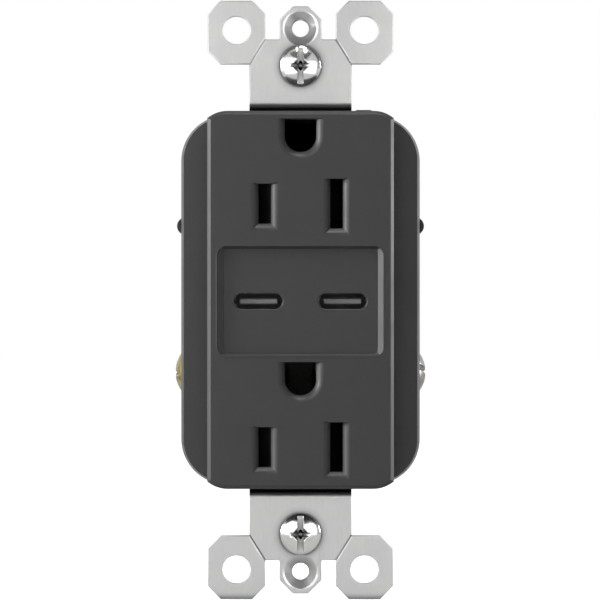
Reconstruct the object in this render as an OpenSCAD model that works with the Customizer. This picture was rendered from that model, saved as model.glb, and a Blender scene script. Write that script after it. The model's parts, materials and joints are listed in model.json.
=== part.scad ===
// Duplex wall outlet with two USB-C ports, a decorator face and a steel mounting strap.
// Every piece is drawn lying on its back: x to the right, y up the wall, z out of the wall towards the user.
// The wall plane, on which the strap's ears bear, is z = 0. stand() then sets the outlet upright.

/* [Strap] */
// Height of the strap over its ears
strap_h = 106.5; // [105.5:0.1:108]
// Thickness of the strap's sheet steel
strap_t = 1.3; // [1:0.05:1.5]
// How far the strap steps back between its ends and its inner frame
strap_jog = 2.9; // [2.7:0.1:3.2]
// Inner radius of the strap's bends
bend_r = 0.3; // [0.2:0.05:0.5]
// Width of the strap's neck
neck_w = 18.2; // [17:0.1:19]
// How far the neck runs past a box screw
neck_past_screw = 4.7; // [4.3:0.1:5]
// Width across a pair of ears
ears_w = 33; // [32:0.1:34]
// Width of one ear
ear_w = 10.2; // [9.8:0.1:10.6]
// Height of one ear
ear_h = 11.3; // [11:0.1:11.7]
// Corner cut of an ear
ear_cut = 2.3; // [1.6:0.1:2.6]
// Diameter of the hole in an ear
ear_hole_d = 4.96; // [4:0.02:5.6]
// How far an ear's hole lies outside the middle of the ear
ear_hole_rise = 0.4; // [0:0.1:0.8]
// Depth, on each side of the sheet, of the score line along which an ear snaps off
score_d = 0.3; // [0.2:0.05:0.4]
// Distance between the box screws
box_pitch = 83.34; // [82.9:0.02:83.8]
// Width of the slot for a box screw
box_slot_w = 4; // [3.8:0.1:4.4]
// Length of the slot for a box screw
box_slot_l = 6.2; // [5.4:0.1:6.6]
// Distance between the wall plate screws
plate_pitch = 96.84; // [96.4:0.02:97.2]
// Diameter of a wall plate screw's hole
plate_hole_d = 3; // [2.7:0.05:3.2]
// Width of the flared mouth round that hole
mouth_w = 1.5; // [1.2:0.1:1.6]
// Depth of the drawn collar behind the sheet
collar_d = 1.5; // [1:0.1:2]
// Wall of the drawn collar
collar_wall = 0.7; // [0.5:0.05:0.9]
// Width of the wall plate tab
tab_w = 7.5; // [7:0.1:8]
// How far the tab runs past its hole
tab_past_hole = 3.85; // [3.6:0.05:4.1]
// Corner cut of the tab
tab_cut = 2.4; // [1.8:0.1:2.6]
// Sheet left round an assembly screw's hole in the strap's inner frame, sideways
frame_side = 0.5; // [0.4:0.05:0.7]
// Sheet left round an assembly screw's hole in the frame, up and down
frame_end = 0.75; // [0.6:0.05:0.8]
// Width of the frame's opening round the USB ports
frame_open_w = 25.2; // [24.6:0.1:26]
// Height of the frame's opening round the USB ports
frame_open_h = 17.2; // [16.6:0.1:17.8]

/* [Face] */
// Width of the raised face
face_w = 33; // [32.8:0.05:33.2]
// Height of the raised face
face_h = 66.8; // [66.4:0.1:67.2]
// Radius of the arcs that cut the corners of the face
face_r = 5.6; // [5.2:0.1:6]
// How far those arcs would run past the sides of the face
face_arc = 2; // [1.6:0.1:2.4]
// Height of the face above the wall plane
face_z = 7.6; // [7.3:0.1:8.2]
// Thickness of the face
face_t = 2.6; // [2.2:0.1:2.8]
// Width of the bevel round the face
face_bevel = 0.62; // [0.4:0.02:0.8]
// Wall of the cover
cover_wall = 1.5; // [1.2:0.1:1.6]
// Gap between the cover's ends and the step of the strap
end_gap = 0.2; // [0.15:0.05:0.6]

/* [Shoulder] */
// Width of the shoulder beside the face
shoulder_w = 42.6; // [42.2:0.1:43]
// Height of the shoulder
shoulder_h = 66; // [65.6:0.1:66.4]
// Corner radius of the shoulder
shoulder_r = 8.2; // [7.6:0.1:8.6]
// Height of the shoulder above the wall plane
shoulder_z = 2.6; // [2.2:0.1:3.2]
// Thickness of the shoulder
shoulder_t = 1.7; // [1.4:0.1:2]
// How far the walls of the shoulder slope in towards its front
shoulder_slope = 0.5; // [0.3:0.05:0.7]

/* [Outlets] */
// Height of the upper outlet's blade slots
upper_y = 17; // [16.8:0.1:17.2]
// Height of the lower outlet's blade slots
lower_y = -26; // [-26.2:0.1:-25.8]
// Distance between the blade slots of an outlet
blade_pitch = 12.7; // [12.5:0.05:12.9]
// Rise of the ground hole above the blade slots
ground_rise = 11.9; // [11.8:0.05:12]
// Width of a blade slot
slot_w = 2.2; // [2:0.05:2.4]
// Height of the hot slot
hot_slot_h = 7.05; // [6.8:0.05:7.4]
// Height of the neutral slot
neutral_slot_h = 8.75; // [8.4:0.05:9]
// Width of the ground hole
ground_w = 5.57; // [5.2:0.01:5.8]
// Distance from the middle of the ground hole up to its flat
ground_flat = 3.1; // [2.9:0.05:3.3]
// Width of the lead-in round a slot
lead_in = 0.8; // [0.5:0.05:0.9]

/* [USB panel] */
// Height of the middle of the USB panel
panel_y = -0.25; // [-0.4:0.05:0.2]
// Width of the sunk panel
panel_w = 29.3; // [28.8:0.1:29.6]
// Height of the sunk panel
panel_h = 19.4; // [18.8:0.1:19.6]
// Corner radius of the sunk panel
panel_r = 1.6; // [1.2:0.1:2]
// How far the panel lies below the face
panel_sink = 0.8; // [0.5:0.1:1]
// Width of the slope at the panel's sides
panel_side_slope = 1; // [0.6:0.1:1.2]
// Width of the slope at the panel's ends
panel_end_slope = 0.45; // [0.3:0.05:0.7]
// Margin of the insert behind the window
insert_margin = 1; // [0.8:0.1:1.1]
// Thickness of the insert's flange
insert_flange_t = 1.5; // [1.2:0.1:1.8]
// Distance between the USB ports
port_pitch = 14.86; // [14.6:0.02:15.1]
// Width of a port's mouth in the panel
port_w = 8.6; // [8.5:0.02:8.7]
// Height of a port's mouth in the panel
port_h = 2.72; // [2.66:0.02:2.8]
// Thickness of the panel in front of the sockets
port_lip_t = 0.8; // [0.6:0.1:1]

/* [USB ports] */
// Width of a port's metal shell
shell_w = 8.94; // [8.9:0.02:9]
// Height of a port's metal shell
shell_h = 3.26; // [3.2:0.02:3.3]
// Wall of the shell
shell_t = 0.3; // [0.25:0.01:0.33]
// Width of a port's tongue
tongue_w = 6.69; // [6.5:0.01:6.8]
// Thickness of the tongue
tongue_t = 0.7; // [0.65:0.01:0.75]
// How far the tongue's tip lies inside the shell
tongue_inset = 0.8; // [0.6:0.1:1.2]
// Length of the tongue in front of its base
tongue_l = 5.8; // [5.4:0.1:6]
// Contacts on each side of the tongue
contact_count = 12; // [8:1:12]
// Distance between contacts
contact_pitch = 0.5; // [0.45:0.01:0.52]

/* [Housing] */
// Room between the tallest part of the power supply and the housing's back
back_gap = 1.2; // [0.8:0.1:4]
// Width of the housing
housing_w = 40.8; // [40.6:0.1:41.2]
// Rim of the housing beyond the ends of the strap's frame
end_rim = 0.95; // [0.7:0.05:1.1]
// Corner radius of the housing
housing_r = 7; // [6.5:0.1:7.4]
// Wall of the housing
housing_wall = 1.8; // [1.5:0.1:1.9]
// Radius of the rounded edge round the housing's back
housing_edge = 0.6; // [0.4:0.1:0.8]
// Radius of the rib on each side of the housing
rib_r = 1.6; // [1.3:0.1:1.7]
// Height of the side ribs
rib_y = 13.2; // [12:0.1:14]
// Length of the side ribs
rib_l = 10; // [8:0.5:14]
// Width of the lug on the housing's upper end
lug_w = 2.8; // [2.4:0.1:3.2]
// Distance of the lug from the middle
lug_x = 11.3; // [10.8:0.1:11.8]
// How far the lug stands out of the housing's end
lug_out = 1.45; // [1.2:0.05:1.6]
// Length of the lug
lug_l = 5; // [4:0.5:8]

/* [Terminals] */
// Height of the hot and neutral terminals
term_y = -13; // [-13.2:0.1:-12.8]
// Height of the ground terminal
earth_y = -22.6; // [-22.7:0.1:-22.5]
// Depth of the terminal screws behind the wall plane
term_z = -9.4; // [-9.6:0.1:-9.2]
// How far the hot and neutral terminal plates lie inside the housing's sides
term_setback = 2.8; // [2.6:0.05:3]
// How far the ground terminal plate lies inside the housing's side
earth_setback = 5.2; // [5.1:0.05:5.4]
// Gap under a clamp plate as delivered
clamp_gap = 1.2; // [1:0.05:1.3]
// Thickness of a clamp plate
clamp_t = 1.4; // [1.2:0.1:1.5]
// Side of a clamp plate
clamp_side = 7.6; // [7.2:0.1:7.8]
// Thread diameter of a terminal screw
term_screw_d = 3.9; // [3.7:0.05:4.1]
// Head diameter of a terminal screw
term_head_d = 7.36; // [7:0.05:7.6]
// Head height of a terminal screw
term_head_h = 2.4; // [2:0.1:2.5]
// Length of a terminal screw under its head
term_screw_l = 5.6; // [5.2:0.1:5.8]
// Side of a terminal's well in the housing
well_side = 8.4; // [8.2:0.1:8.5]
// Diameter of the wire holes in the back
wire_hole_d = 2.6; // [2.2:0.1:2.7]
// Distance between the wire holes of a terminal
wire_pitch = 6; // [5.8:0.1:6.2]

/* [Contacts] */
// Thickness of the contact strips
strip_t = 1; // [0.8:0.05:1.1]
// Width of a contact strip's bar
bar_w = 4.6; // [4.4:0.1:4.7]
// Thickness of a blade clip's leaves
leaf_t = 0.7; // [0.6:0.05:0.75]
// Gap between the leaves where they grip
grip_gap = 1.1; // [0.9:0.05:1.3]
// Depth of the contact bars behind the wall plane
bar_z = -14.6; // [-14.8:0.1:-14.4]
// Width of a ground contact's fingers
finger_w = 3.2; // [2.8:0.1:3.3]
// Thickness of a ground contact
finger_t = 0.6; // [0.5:0.05:0.7]
// Gap between the ground fingers where they grip
finger_gap = 4.2; // [4:0.05:4.4]

/* [Shutters] */
// Travel of a shutter
shutter_travel = 2.8; // [2.7:0.05:2.9]
// Running gap round a shutter
shutter_gap = 0.1; // [0.08:0.01:0.12]
// Reach of a shutter below the blade slots
shutter_low = 5.3; // [5.1:0.1:5.4]
// Reach of a shutter above the blade slots
shutter_high = 8.4; // [8.2:0.1:8.4]
// Bar of a shutter beyond its window
shutter_bar = 1.05; // [0.85:0.05:1.15]
// Height of the return spring above the blade slots
spring_rise = 6.7; // [6.6:0.05:6.8]
// Length of the return spring at rest
spring_l = 9; // [8.4:0.1:9.2]
// Outer diameter of the return spring
spring_d = 2.2; // [2:0.05:2.3]
// Wire diameter of the return spring
spring_wire = 0.3; // [0.25:0.01:0.34]
// Turns of the return spring
spring_turns = 7; // [6:1:8]

/* [Screws] */
// Thread diameter of a box screw
box_screw_d = 3.5; // [3.3:0.05:3.6]
// Length of a box screw under its head
box_screw_l = 22.2; // [20:0.1:26]
// Head diameter of a box screw
box_head_d = 7.3; // [7.1:0.05:7.6]
// Head height of a box screw
box_head_h = 2.1; // [1.8:0.1:2.4]
// Width of the slot in a screw head
head_slot_w = 1.05; // [0.9:0.05:1.2]
// Side of the fibre washer on a box screw
washer_side = 7.4; // [7:0.1:7.5]
// Thickness of the fibre washer
washer_t = 0.8; // [0.6:0.1:1]
// Thread diameter of an assembly screw
joint_screw_d = 2.9; // [2.7:0.05:3]
// Head diameter of an assembly screw
joint_head_d = 4.8; // [4.4:0.1:5]
// Distance of the assembly screws from the face's sides
joint_inset = 2.3; // [2.2:0.025:2.4]
// Distance of the assembly screws from the middle, up and down
joint_y = 29; // [28.9:0.05:29.1]
// Depth of the assembly screws' seats behind the wall plane
joint_seat = 16; // [15.5:0.1:18]

/* [Boards] */
// Thickness of the circuit boards
board_t = 1.6; // [1.4:0.1:1.7]
// Width of the USB board
usb_board_w = 30; // [29:0.1:31]
// Height of the USB board
usb_board_h = 19; // [18.4:0.1:19.4]
// Gap between the strap's frame and the USB board
usb_board_gap = 1.3; // [1.2:0.05:1.4]
// Width of the power board
power_board_w = 26.4; // [26:0.1:26.6]
// Height of the power board
power_board_h = 52; // [51:0.1:52.4]
// Floor of the contact carrier
carrier_t = 1.6; // [1.4:0.1:1.8]
// Length of the posts between the carrier and the power board
post_l = 1.6; // [1.4:0.1:1.8]
// Radius of those posts
post_r = 1.6; // [1.2:0.1:1.8]
// Distance between the pins that join the boards
header_pitch = 2.54; // [2.5:0.01:2.6]
// Side of such a pin
header_pin = 0.64; // [0.6:0.01:0.7]
// Pins in each of the two rows
header_count = 5; // [3:1:5]
// Height of the block that spaces the pins
header_t = 2.5; // [2.2:0.1:2.8]

/* [Power supply] */
// Width of the transformer's core
core_w = 16; // [15:0.1:17]
// Height of the transformer's core off the board
core_h = 11; // [10:0.1:12]
// Thickness of the core
core_t = 5; // [4.5:0.1:5.5]
// Thickness of the core's legs
core_leg = 2; // [1.8:0.1:2.2]
// Gap between the core and the board
core_lift = 0.6; // [0.4:0.1:0.8]
// Width of the bobbin's flanges
flange_w = 12; // [11:0.1:13]
// Thickness of the bobbin's flanges
flange_t = 0.7; // [0.6:0.1:0.9]
// Wall of the bobbin's tube
bobbin_wall = 0.6; // [0.5:0.05:0.7]
// Diameter of a bulk capacitor
bulk_d = 8; // [7.4:0.1:8.4]
// Height of a bulk capacitor
bulk_h = 11.2; // [10:0.1:11.8]
// Diameter of an output capacitor
output_d = 6.3; // [5.8:0.1:6.6]
// Height of an output capacitor
output_h = 7.7; // [7:0.1:9]
// Radius of the choke's ring
choke_ring_r = 3.1; // [2.9:0.1:3.2]
// Radius of the choke's wound section
choke_r = 1.5; // [1.3:0.05:1.6]
// Width of the inlet fuse
fuse_w = 3.6; // [3.2:0.1:3.8]
// Length of the inlet fuse
fuse_l = 8; // [7:0.1:8.4]
// Width of the bridge rectifier
bridge_w = 5; // [4.6:0.1:5.2]
// Length of the bridge rectifier
bridge_l = 3.8; // [3.4:0.1:4]
// Height of the bridge rectifier
bridge_h = 1.6; // [1.4:0.1:1.8]
// Width of the suppression capacitor
film_w = 12.5; // [11.5:0.1:13]
// Thickness of the suppression capacitor
film_t = 5.4; // [5:0.1:5.6]
// Height of the suppression capacitor
film_h = 9; // [8:0.1:10]
// Diameter of the isolation capacitor
disc_d = 7.2; // [6.6:0.1:7.6]
// Thickness of the isolation capacitor
disc_t = 3; // [2.6:0.1:3.2]
// Width of the optocoupler
opto_w = 3.6; // [3.4:0.1:3.8]
// Length of the optocoupler
opto_l = 4.6; // [4.2:0.1:4.8]
// Height of the optocoupler
opto_h = 2.2; // [2:0.1:2.4]
// Width of a switching chip
chip_w = 4; // [3.6:0.1:4.2]
// Length of a switching chip
chip_l = 5; // [4.6:0.1:5.4]
// Height of a switching chip
chip_h = 1; // [0.8:0.05:1.2]
// Side of a USB control chip
control_w = 4; // [3.6:0.1:4.2]
// Height of a USB control chip
control_h = 0.9; // [0.8:0.05:0.95]

/* [Hidden] */
$fn = 64;

// How far a cutter runs past the face that it cuts
over = 1;
// Gap between pieces that are pressed together
press_gap = 0.02;
// Gap round a screw in its thread
thread_gap = 0.05;
// Gap between fixed pieces
fit_gap = 0.1;
// Gap round a piece that only passes through an opening
pass_gap = 0.2;
// Gap round a screw in a plain hole
screw_gap = 0.25;
// Room past the tip of a screw, and past the end of a plug's pin
tip_gap = 0.3;

// Colours
charcoal = "#464646";
black = "#1c1c1c";
steel = "#c9cac8";
brass = "#b8a360";
copper = "#b87333";
nickel = "#b4b4b2";
green = "#3f8a4e";
fibre = "#8a4a34";
white = "#e6e4dc";
board_green = "#2f6b45";
gold = "#d4af4a";
ferrite = "#3a3b3d";
blue = "#3d6fae";

// Levels, from the face back
face_under = face_z - face_t;
shoulder_under = shoulder_z - shoulder_t;
inner_front = strap_t - strap_jog;
inner_back = -strap_jog;
seam = inner_front;
panel_z = face_z - panel_sink;
lip_under = panel_z - port_lip_t;
insert_back = face_under - insert_flange_t;
insert_front = panel_z - press_gap;
usb_board_front = inner_back - usb_board_gap;
usb_board_back = usb_board_front - board_t;
carrier_back = bar_z - carrier_t;
power_front = carrier_back - post_l;
power_back = power_front - board_t;
supply_h = max(core_lift + core_h, bulk_h, output_h, film_h, disc_d);
housing_floor = power_back - supply_h - back_gap;
housing_back = housing_floor - housing_wall;

// Cover: upright foot of the face and the shoulder, inner corners, and the step over the strap's necks
face_tall = face_z - seam;
face_land = face_tall - face_bevel;
seam_land = 0.4;
face_room_r = 1.3;
neck_relief = 0.2;

// Assembly screws: hole, tip, head and the cross in the head
joint_x = face_w / 2 - joint_inset;
joint_hole_r = joint_screw_d / 2 + screw_gap;
joint_tip = face_under - 1;
joint_tip_l = 0.6;
joint_head_h = 1.9;
joint_cross_l = 2.6;
joint_cross_w = 0.6;
joint_cross_d = 1.1;
boss_wall = 0.85;
boss_r = joint_screw_d / 2 + boss_wall;
column_wall = 0.45;
column_r = joint_head_d / 2 + screw_gap + column_wall;

// Strap
bend_out = bend_r + strap_t;
inner_end = face_h / 2 + end_gap - bend_r;
outer_start = inner_end + bend_r + bend_out;
box_y = box_pitch / 2;
plate_y = plate_pitch / 2;
plate_hole_r = plate_hole_d / 2;
mouth_r = plate_hole_r + mouth_w;
neck_end = box_y + neck_past_screw;
tab_end = plate_y + tab_past_hole;
ear_in = ears_w / 2 - ear_w;
ear_out = ears_w / 2;
ear_low = strap_h / 2 - ear_h;
ear_high = strap_h / 2;
ear_x = ears_w / 2 - ear_w / 2;
ear_y = strap_h / 2 - ear_h / 2 + ear_hole_rise;
frame_w = 2 * (joint_x + joint_hole_r + frame_side);
frame_half_h = joint_y + joint_hole_r + frame_end;
frame_open_r = 1.5;
earth_tab_h = 5.6;
earth_tab_cut = 0.4;
earth_bend_r = 0.6;

// Eyelets that hold the ground contacts to the strap
eyelet_x = 5.4;
eyelet_r = 1.1;
eyelet_head_r = 1.6;
eyelet_head_t = 0.5;

// Outlets
outlets = [upper_y, lower_y];
blade_x = blade_pitch / 2;
ground_r = ground_w / 2;
ground_pass = 0.5;
ground_pass_r = ground_r + ground_pass;
chute_wall = 0.4;
blade_pass_w = 7;
blade_pass_h = neutral_slot_h + 1.6;
blade_pass_r = 1;
pin_r = 2.4;
pin_end = -13.5;

// USB panel and ports
port_x = port_pitch / 2;
window_w = panel_w - 2 * panel_side_slope;
window_h = panel_h - 2 * panel_end_slope;
window_r = 1.1;
lip_land = 0.15;
bead_w = 0.5;
bead_h = 0.1;
bead_slope = 0.4;
bead_out_w = panel_w + 2 * bead_w;
bead_out_h = panel_h + 2 * bead_w;
lip_slope = panel_sink - lip_land;
insert_flange_w = window_w + 2 * insert_margin;
insert_flange_h = window_h + 2 * insert_margin;
socket_wall = 1;
socket_back = inner_front + 0.4;
shell_gap = 0.03;
tongue_tip = lip_under - tongue_inset;
tongue_root = tongue_tip - tongue_l;
contact_w = 0.25;
contact_t = 0.06;
contact_end = 0.5;
control_y = panel_y + shell_h + 0.6;

// Shutters: the hot slide runs in front, the neutral slide behind it
slot_clear = slot_w / 2 + 0.3;
shutter_edge = blade_x + slot_clear;
shutter_reach = shutter_edge + shutter_bar;
shutter_window_h = neutral_slot_h + 0.6;
ramp_foot = 0.5;
rail_low = shutter_low + shutter_gap;
rail_high = shutter_high + shutter_gap;
rail_t = 0.8;
rail_half_w = face_w / 2 - cover_wall + 0.2;
retainer_t = 1.2;
retainer_half_w = joint_x - boss_r - pass_gap;
retainer_slot_gap = 0.4;
retainer_slot_r = 0.5;
retainer_front = inner_front + retainer_t;
shutter_space = face_under - retainer_front;
shutter_t = (shutter_space - 3 * shutter_gap) / 2;
hot_shutter_z = face_under - shutter_gap - shutter_t;
neutral_shutter_z = retainer_front + shutter_gap;
shutter_mid = (hot_shutter_z + neutral_shutter_z + shutter_t) / 2;
spring_tunnel_r = spring_d / 2 + 0.12;
spring_tunnel_l = spring_l + 2 * shutter_gap;

// Housing
housing_h = 2 * (frame_half_h + fit_gap + end_rim);
rib_stand = 0.1;
rib_start = seam - 0.6;

// Terminals: a screw stands on its axis with the under side of its head at z = 0
term_x = housing_w / 2 - term_setback;
earth_x = housing_w / 2 - earth_setback;
term_head_x = term_x + clamp_gap + clamp_t;
earth_head_x = earth_x + clamp_gap + clamp_t;
term_hole_r = term_screw_d / 2 + thread_gap;
clamp_hole_r = term_screw_d / 2 + screw_gap;
clamp_corner = 1.6;
groove_r = 0.8;
groove_d = 0.3;
well_top = term_z + well_side / 2;
wire_gap_x = clamp_gap / 2;
wire_mouth = 0.5;
wire_mouth_d = 0.8;
block_in = 1.5;
block_wall = 0.6;
block_h = well_side + 2 * block_wall;

// Screw heads: rim under the dome, slot, and cross with a square middle
term_head_rim = 1.1;
box_head_rim = 0.7;
head_slot_d = 1.1;
cross_d = 1.65;
cross_w = 0.64;
cross_root_r = 0.3;
cross_r = 2.2;
cross_mid = 1.9;
cross_root = 0.4;
cross_wide = 2 * cross_mid - cross_root;

// The box screws' turned-down necks, which keep them in their washers
box_neck_d = box_screw_d - 0.5;
box_neck_l = strap_t + washer_t + 0.6;

// Contacts
clip_foot = 2;
clip_mouth = 1.3;
clip_mouth_l = 2.4;
clip_knee_h = 4.2;
clip_top = inner_back - 1.3;
grip_z = clip_top - clip_mouth_l;
knee_z = bar_z + strip_t + clip_knee_h;
arm_h = well_side - 1.4;
plate_top = well_top - 0.4;
tail_w = 2.4;
tail_t = 0.8;
tail_y = 0.9 - power_board_h / 2;
tail_out = 1;
hot_clip_h = hot_slot_h - 0.5;
neutral_clip_h = neutral_slot_h - 1;
foot_open = finger_gap / 2 + 0.6;
foot_hole_r = foot_open + 0.4;
foot_low = foot_hole_r + 1;
foot_w = 2 * (eyelet_x + eyelet_head_r);
foot_back = inner_back - finger_t;
finger_knee_l = 2;
finger_grip_l = 5.5;
finger_l = 8.5;
finger_knee = foot_back - finger_knee_l;
finger_grip = foot_back - finger_grip_l;
finger_end = foot_back - finger_l;

// Carrier
channel_wall = 0.5;
channel_in = blade_x - bar_w / 2 - 0.15;
channel_out = blade_x + bar_w / 2 + 1.4;
channel_past = 1;
carrier_w = 2 * (term_x - strip_t - 0.6);
carrier_h = housing_h - 2 * (housing_wall + tip_gap);
carrier_gap = 0.7;
block_gap = 0.3;
earth_tab_end = bar_z + 0.4;

// Boards and the header between them
board_r = 1;
post_inset = 2.2;
post_x = power_board_w / 2 - post_inset;
post_y = power_board_h / 2 - post_inset;
header_w = 2 * header_pitch;
header_h = header_count * header_pitch;
header_reach = (header_count - 1) / 2 * header_pitch + header_pin / 2;
header_hole_d = 1.6 * header_pin;
pin_out = 1;

// Power supply: where its pieces stand on the back of the power board
trafo_inset = 4;
trafo_y = power_board_h / 2 - flange_w / 2 - trafo_inset;
spool_l = core_w - 2 * core_leg - 2 * pass_gap;
window_z = (core_h - 3 * core_leg) / 2;
flange_h = core_h - 2 * core_leg - pass_gap;
foot_y = core_t / 2 + 0.4;
foot_l = 3;
winding_gap = 0.3;
winding_r = 2;
output_x = power_board_w / 2 - 0.15 - output_d / 2;
output_gap = 2.15;
output_y = trafo_y - core_t / 2 - output_gap - output_d / 2;
bulk_x = bulk_d / 2 + 0.4;
bulk_y = -header_reach - 0.8 - bulk_d / 2;
bridge_x = -3.4;
bridge_y = bulk_y - bulk_d / 2 - 0.4 - bridge_l / 2;
film_x = -3.6;
film_y = bridge_y - bridge_l / 2 - 0.3 - film_t / 2;
film_r = 0.8;
fuse_x = -bulk_d - 0.8 - fuse_w / 2;
fuse_y = earth_y + block_h / 2 + 0.3 + fuse_l / 2;
cap_l = 1;
cap_step = 0.4;
choke_out = choke_ring_r + choke_r;
choke_x = film_x + film_w / 2 + 0.35 + choke_out;
choke_y = tail_y + tail_t / 2 + 0.1 + choke_out;
disc_x = bulk_d + 1.5 + disc_t / 2;
disc_y = -6;
opto_x = power_board_w / 2 - 0.8 - opto_w / 2;
opto_y = disc_y + disc_d / 2 + 0.5 + opto_l / 2;
chip_x = power_board_w / 2 - 1.7 - chip_w / 2;
chip_spots = [[-chip_x, 16], [chip_x, 16], [chip_x, -14]];
can_groove_z = 1.2;
can_groove_h = 0.5;
can_groove_d = 0.3;

stand_turn = [90, 0, 0];
module stand() rotate(stand_turn) children();

// Outlines

module rounded(w, h, r) {
    square([w - 2 * r, h], center = true);
    square([w, h - 2 * r], center = true);
    for (x = [-1, 1], y = [-1, 1]) translate([x * (w / 2 - r), y * (h / 2 - r)]) circle(r);
}

module obround(w, h) {
    square([w - h, h], center = true);
    for (x = [-1, 1]) translate([x * (w - h) / 2, 0]) circle(d = h);
}

module quarter_disc(r) intersection() {
    circle(r);
    square(r);
}

module quarter_ring(r, t) difference() {
    quarter_disc(r + t);
    circle(r);
}

// A slab's end: square below, with rounded edges above
module round_profile(w, t, edge) {
    translate([-w / 2, 0]) square([w, t - edge]);
    translate([edge - w / 2, 0]) square([w - 2 * edge, t]);
    for (x = [-1, 1]) translate([x * (w / 2 - edge), t - edge]) circle(edge);
}

// A moulded slab's end: upright up to low, then sloping in by slope
module drafted_profile(w, t, low, slope)
    polygon([[-w / 2, 0], [w / 2, 0], [w / 2, low], [w / 2 - slope, t], [slope - w / 2, t], [-w / 2, low]]);

// A ground hole: round below, flat above
module ground_outline(grow) {
    r = ground_r + grow;
    circle(r);
    translate([-r, 0]) square([2 * r, ground_flat + grow]);
}

// An opening's end: as wide as w below and widening to wide_w over t
module funnel_profile(w, wide_w, t)
    polygon([[-w / 2, 0], [w / 2, 0], [wide_w / 2, t], [-wide_w / 2, t]]);

// A profile drawn in x and z, run along y
module along_y(l) rotate([90, 0, 0]) linear_extrude(l, center = true) children();

// A profile drawn in y and z, run along x
module along_x(l) rotate([90, 0, 90]) linear_extrude(l, center = true) children();

// Both sides, mirrored about the middle
module both() {
    children();
    mirror([1, 0, 0]) children();
}

// Both ends, mirrored about the middle
module ends() {
    children();
    mirror([0, 1, 0]) children();
}

// Solids that several pieces share

// A slab with rounded corners and a rounded edge round its front
module pillow(w, h, r, t, edge) {
    along_y(h - 2 * r) round_profile(w, t, edge);
    along_x(w - 2 * r) round_profile(h, t, edge);
    for (x = [-1, 1], y = [-1, 1]) translate([x * (w / 2 - r), y * (h / 2 - r), 0])
        rotate_extrude() intersection() {
            round_profile(2 * r, t, edge);
            square([r, t]);
        }
}

// A slab with rounded corners and sloping walls
module drafted(w, h, r, t, low, slope) {
    along_y(h - 2 * r) drafted_profile(w, t, low, slope);
    along_x(w - 2 * r) drafted_profile(h, t, low, slope);
    for (x = [-1, 1], y = [-1, 1]) translate([x * (w / 2 - r), y * (h / 2 - r), 0])
        rotate_extrude() intersection() {
            drafted_profile(2 * r, t, low, slope);
            square([r, t]);
        }
}

// A cutter that widens from one rectangle to another over t
module funnel(w, h, wide_w, wide_h, t) intersection() {
    along_y(wide_h + over) funnel_profile(w, wide_w, t);
    along_x(wide_w + over) funnel_profile(h, wide_h, t);
}

// The opening of a slot, its front at z = 0, with a lead-in at its sides and below
module slot_cut(h, deep) {
    reach = lead_in + over;
    translate([-slot_w / 2, -h / 2, -deep - over]) cube([slot_w, h, deep + 2 * over]);
    translate([0, 0, -lead_in]) intersection() {
        along_y(h + 2 * reach + over) funnel_profile(slot_w, slot_w + 2 * reach, reach);
        along_x(slot_w + 2 * reach + over)
            polygon([[-h / 2, 0], [h / 2, 0], [h / 2, reach], [-h / 2 - reach, reach]]);
    }
}

// The opening of a ground hole, its front at z = 0, with a lead-in at its sides and below
module ground_cut(deep) {
    reach = lead_in + over;
    translate([0, 0, -deep - over]) linear_extrude(deep + 2 * over) ground_outline(0);
    translate([0, 0, -lead_in]) intersection() {
        union() {
            cylinder(r1 = ground_r, r2 = ground_r + reach, h = reach);
            translate([0, ground_flat / 2, 0]) along_y(ground_flat)
                funnel_profile(ground_w, ground_w + 2 * reach, reach);
        }
        translate([-ground_w, -ground_w, 0]) cube([2 * ground_w, ground_w + ground_flat, reach]);
    }
}

// A domed head with a slot and a cross recess, standing on z = 0, its slot along y
module domed_head(d, h, rim) {
    dome = h - rim;
    ball = (d * d / 4 + dome * dome) / (2 * dome);
    difference() {
        intersection() {
            cylinder(d = d, h = h);
            translate([0, 0, h - ball]) sphere(ball, $fn = 128);
        }
        translate([-head_slot_w / 2, -d, h - head_slot_d]) cube([head_slot_w, 2 * d, 2 * head_slot_d]);
        translate([0, 0, h - cross_d]) {
            intersection() {
                translate([-d, -cross_w / 2, -over]) cube([2 * d, cross_w, cross_d + 2 * over]);
                cylinder(r1 = cross_root_r, r2 = cross_r, h = cross_d);
            }
            rotate([0, 0, 45]) funnel(cross_root, cross_root, cross_wide, cross_wide, 2 * cross_d);
        }
    }
}

// A shank from z = 0 down, with a tapered tip
module shank(d, l) {
    tip = d / 4;
    translate([0, 0, tip - l]) cylinder(d = d, h = l - tip);
    translate([0, 0, -l]) cylinder(d1 = d / 2, d2 = d, h = tip);
}

// Turns something that stands on z = 0 to point out of the right side, at the terminals' depth
module at_side(x, y) translate([x, y, term_z]) rotate([0, 90, 0]) children();

// Cover and insert

module face_cover() stand() color(charcoal) difference() {
    union() {
        cover_shell();
        difference() {
            intersection() {
                cover_bosses();
                face_block();
            }
            for (y = outlets) translate([0, y, 0]) shutter_sweep();
        }
        for (y = outlets) translate([0, y, 0]) {
            shutter_rails();
            ground_chute();
        }
    }
    ends() both() translate([joint_x, joint_y, seam - over])
        cylinder(d = joint_screw_d + 2 * thread_gap, h = joint_tip - seam + over + tip_gap);
}

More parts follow.
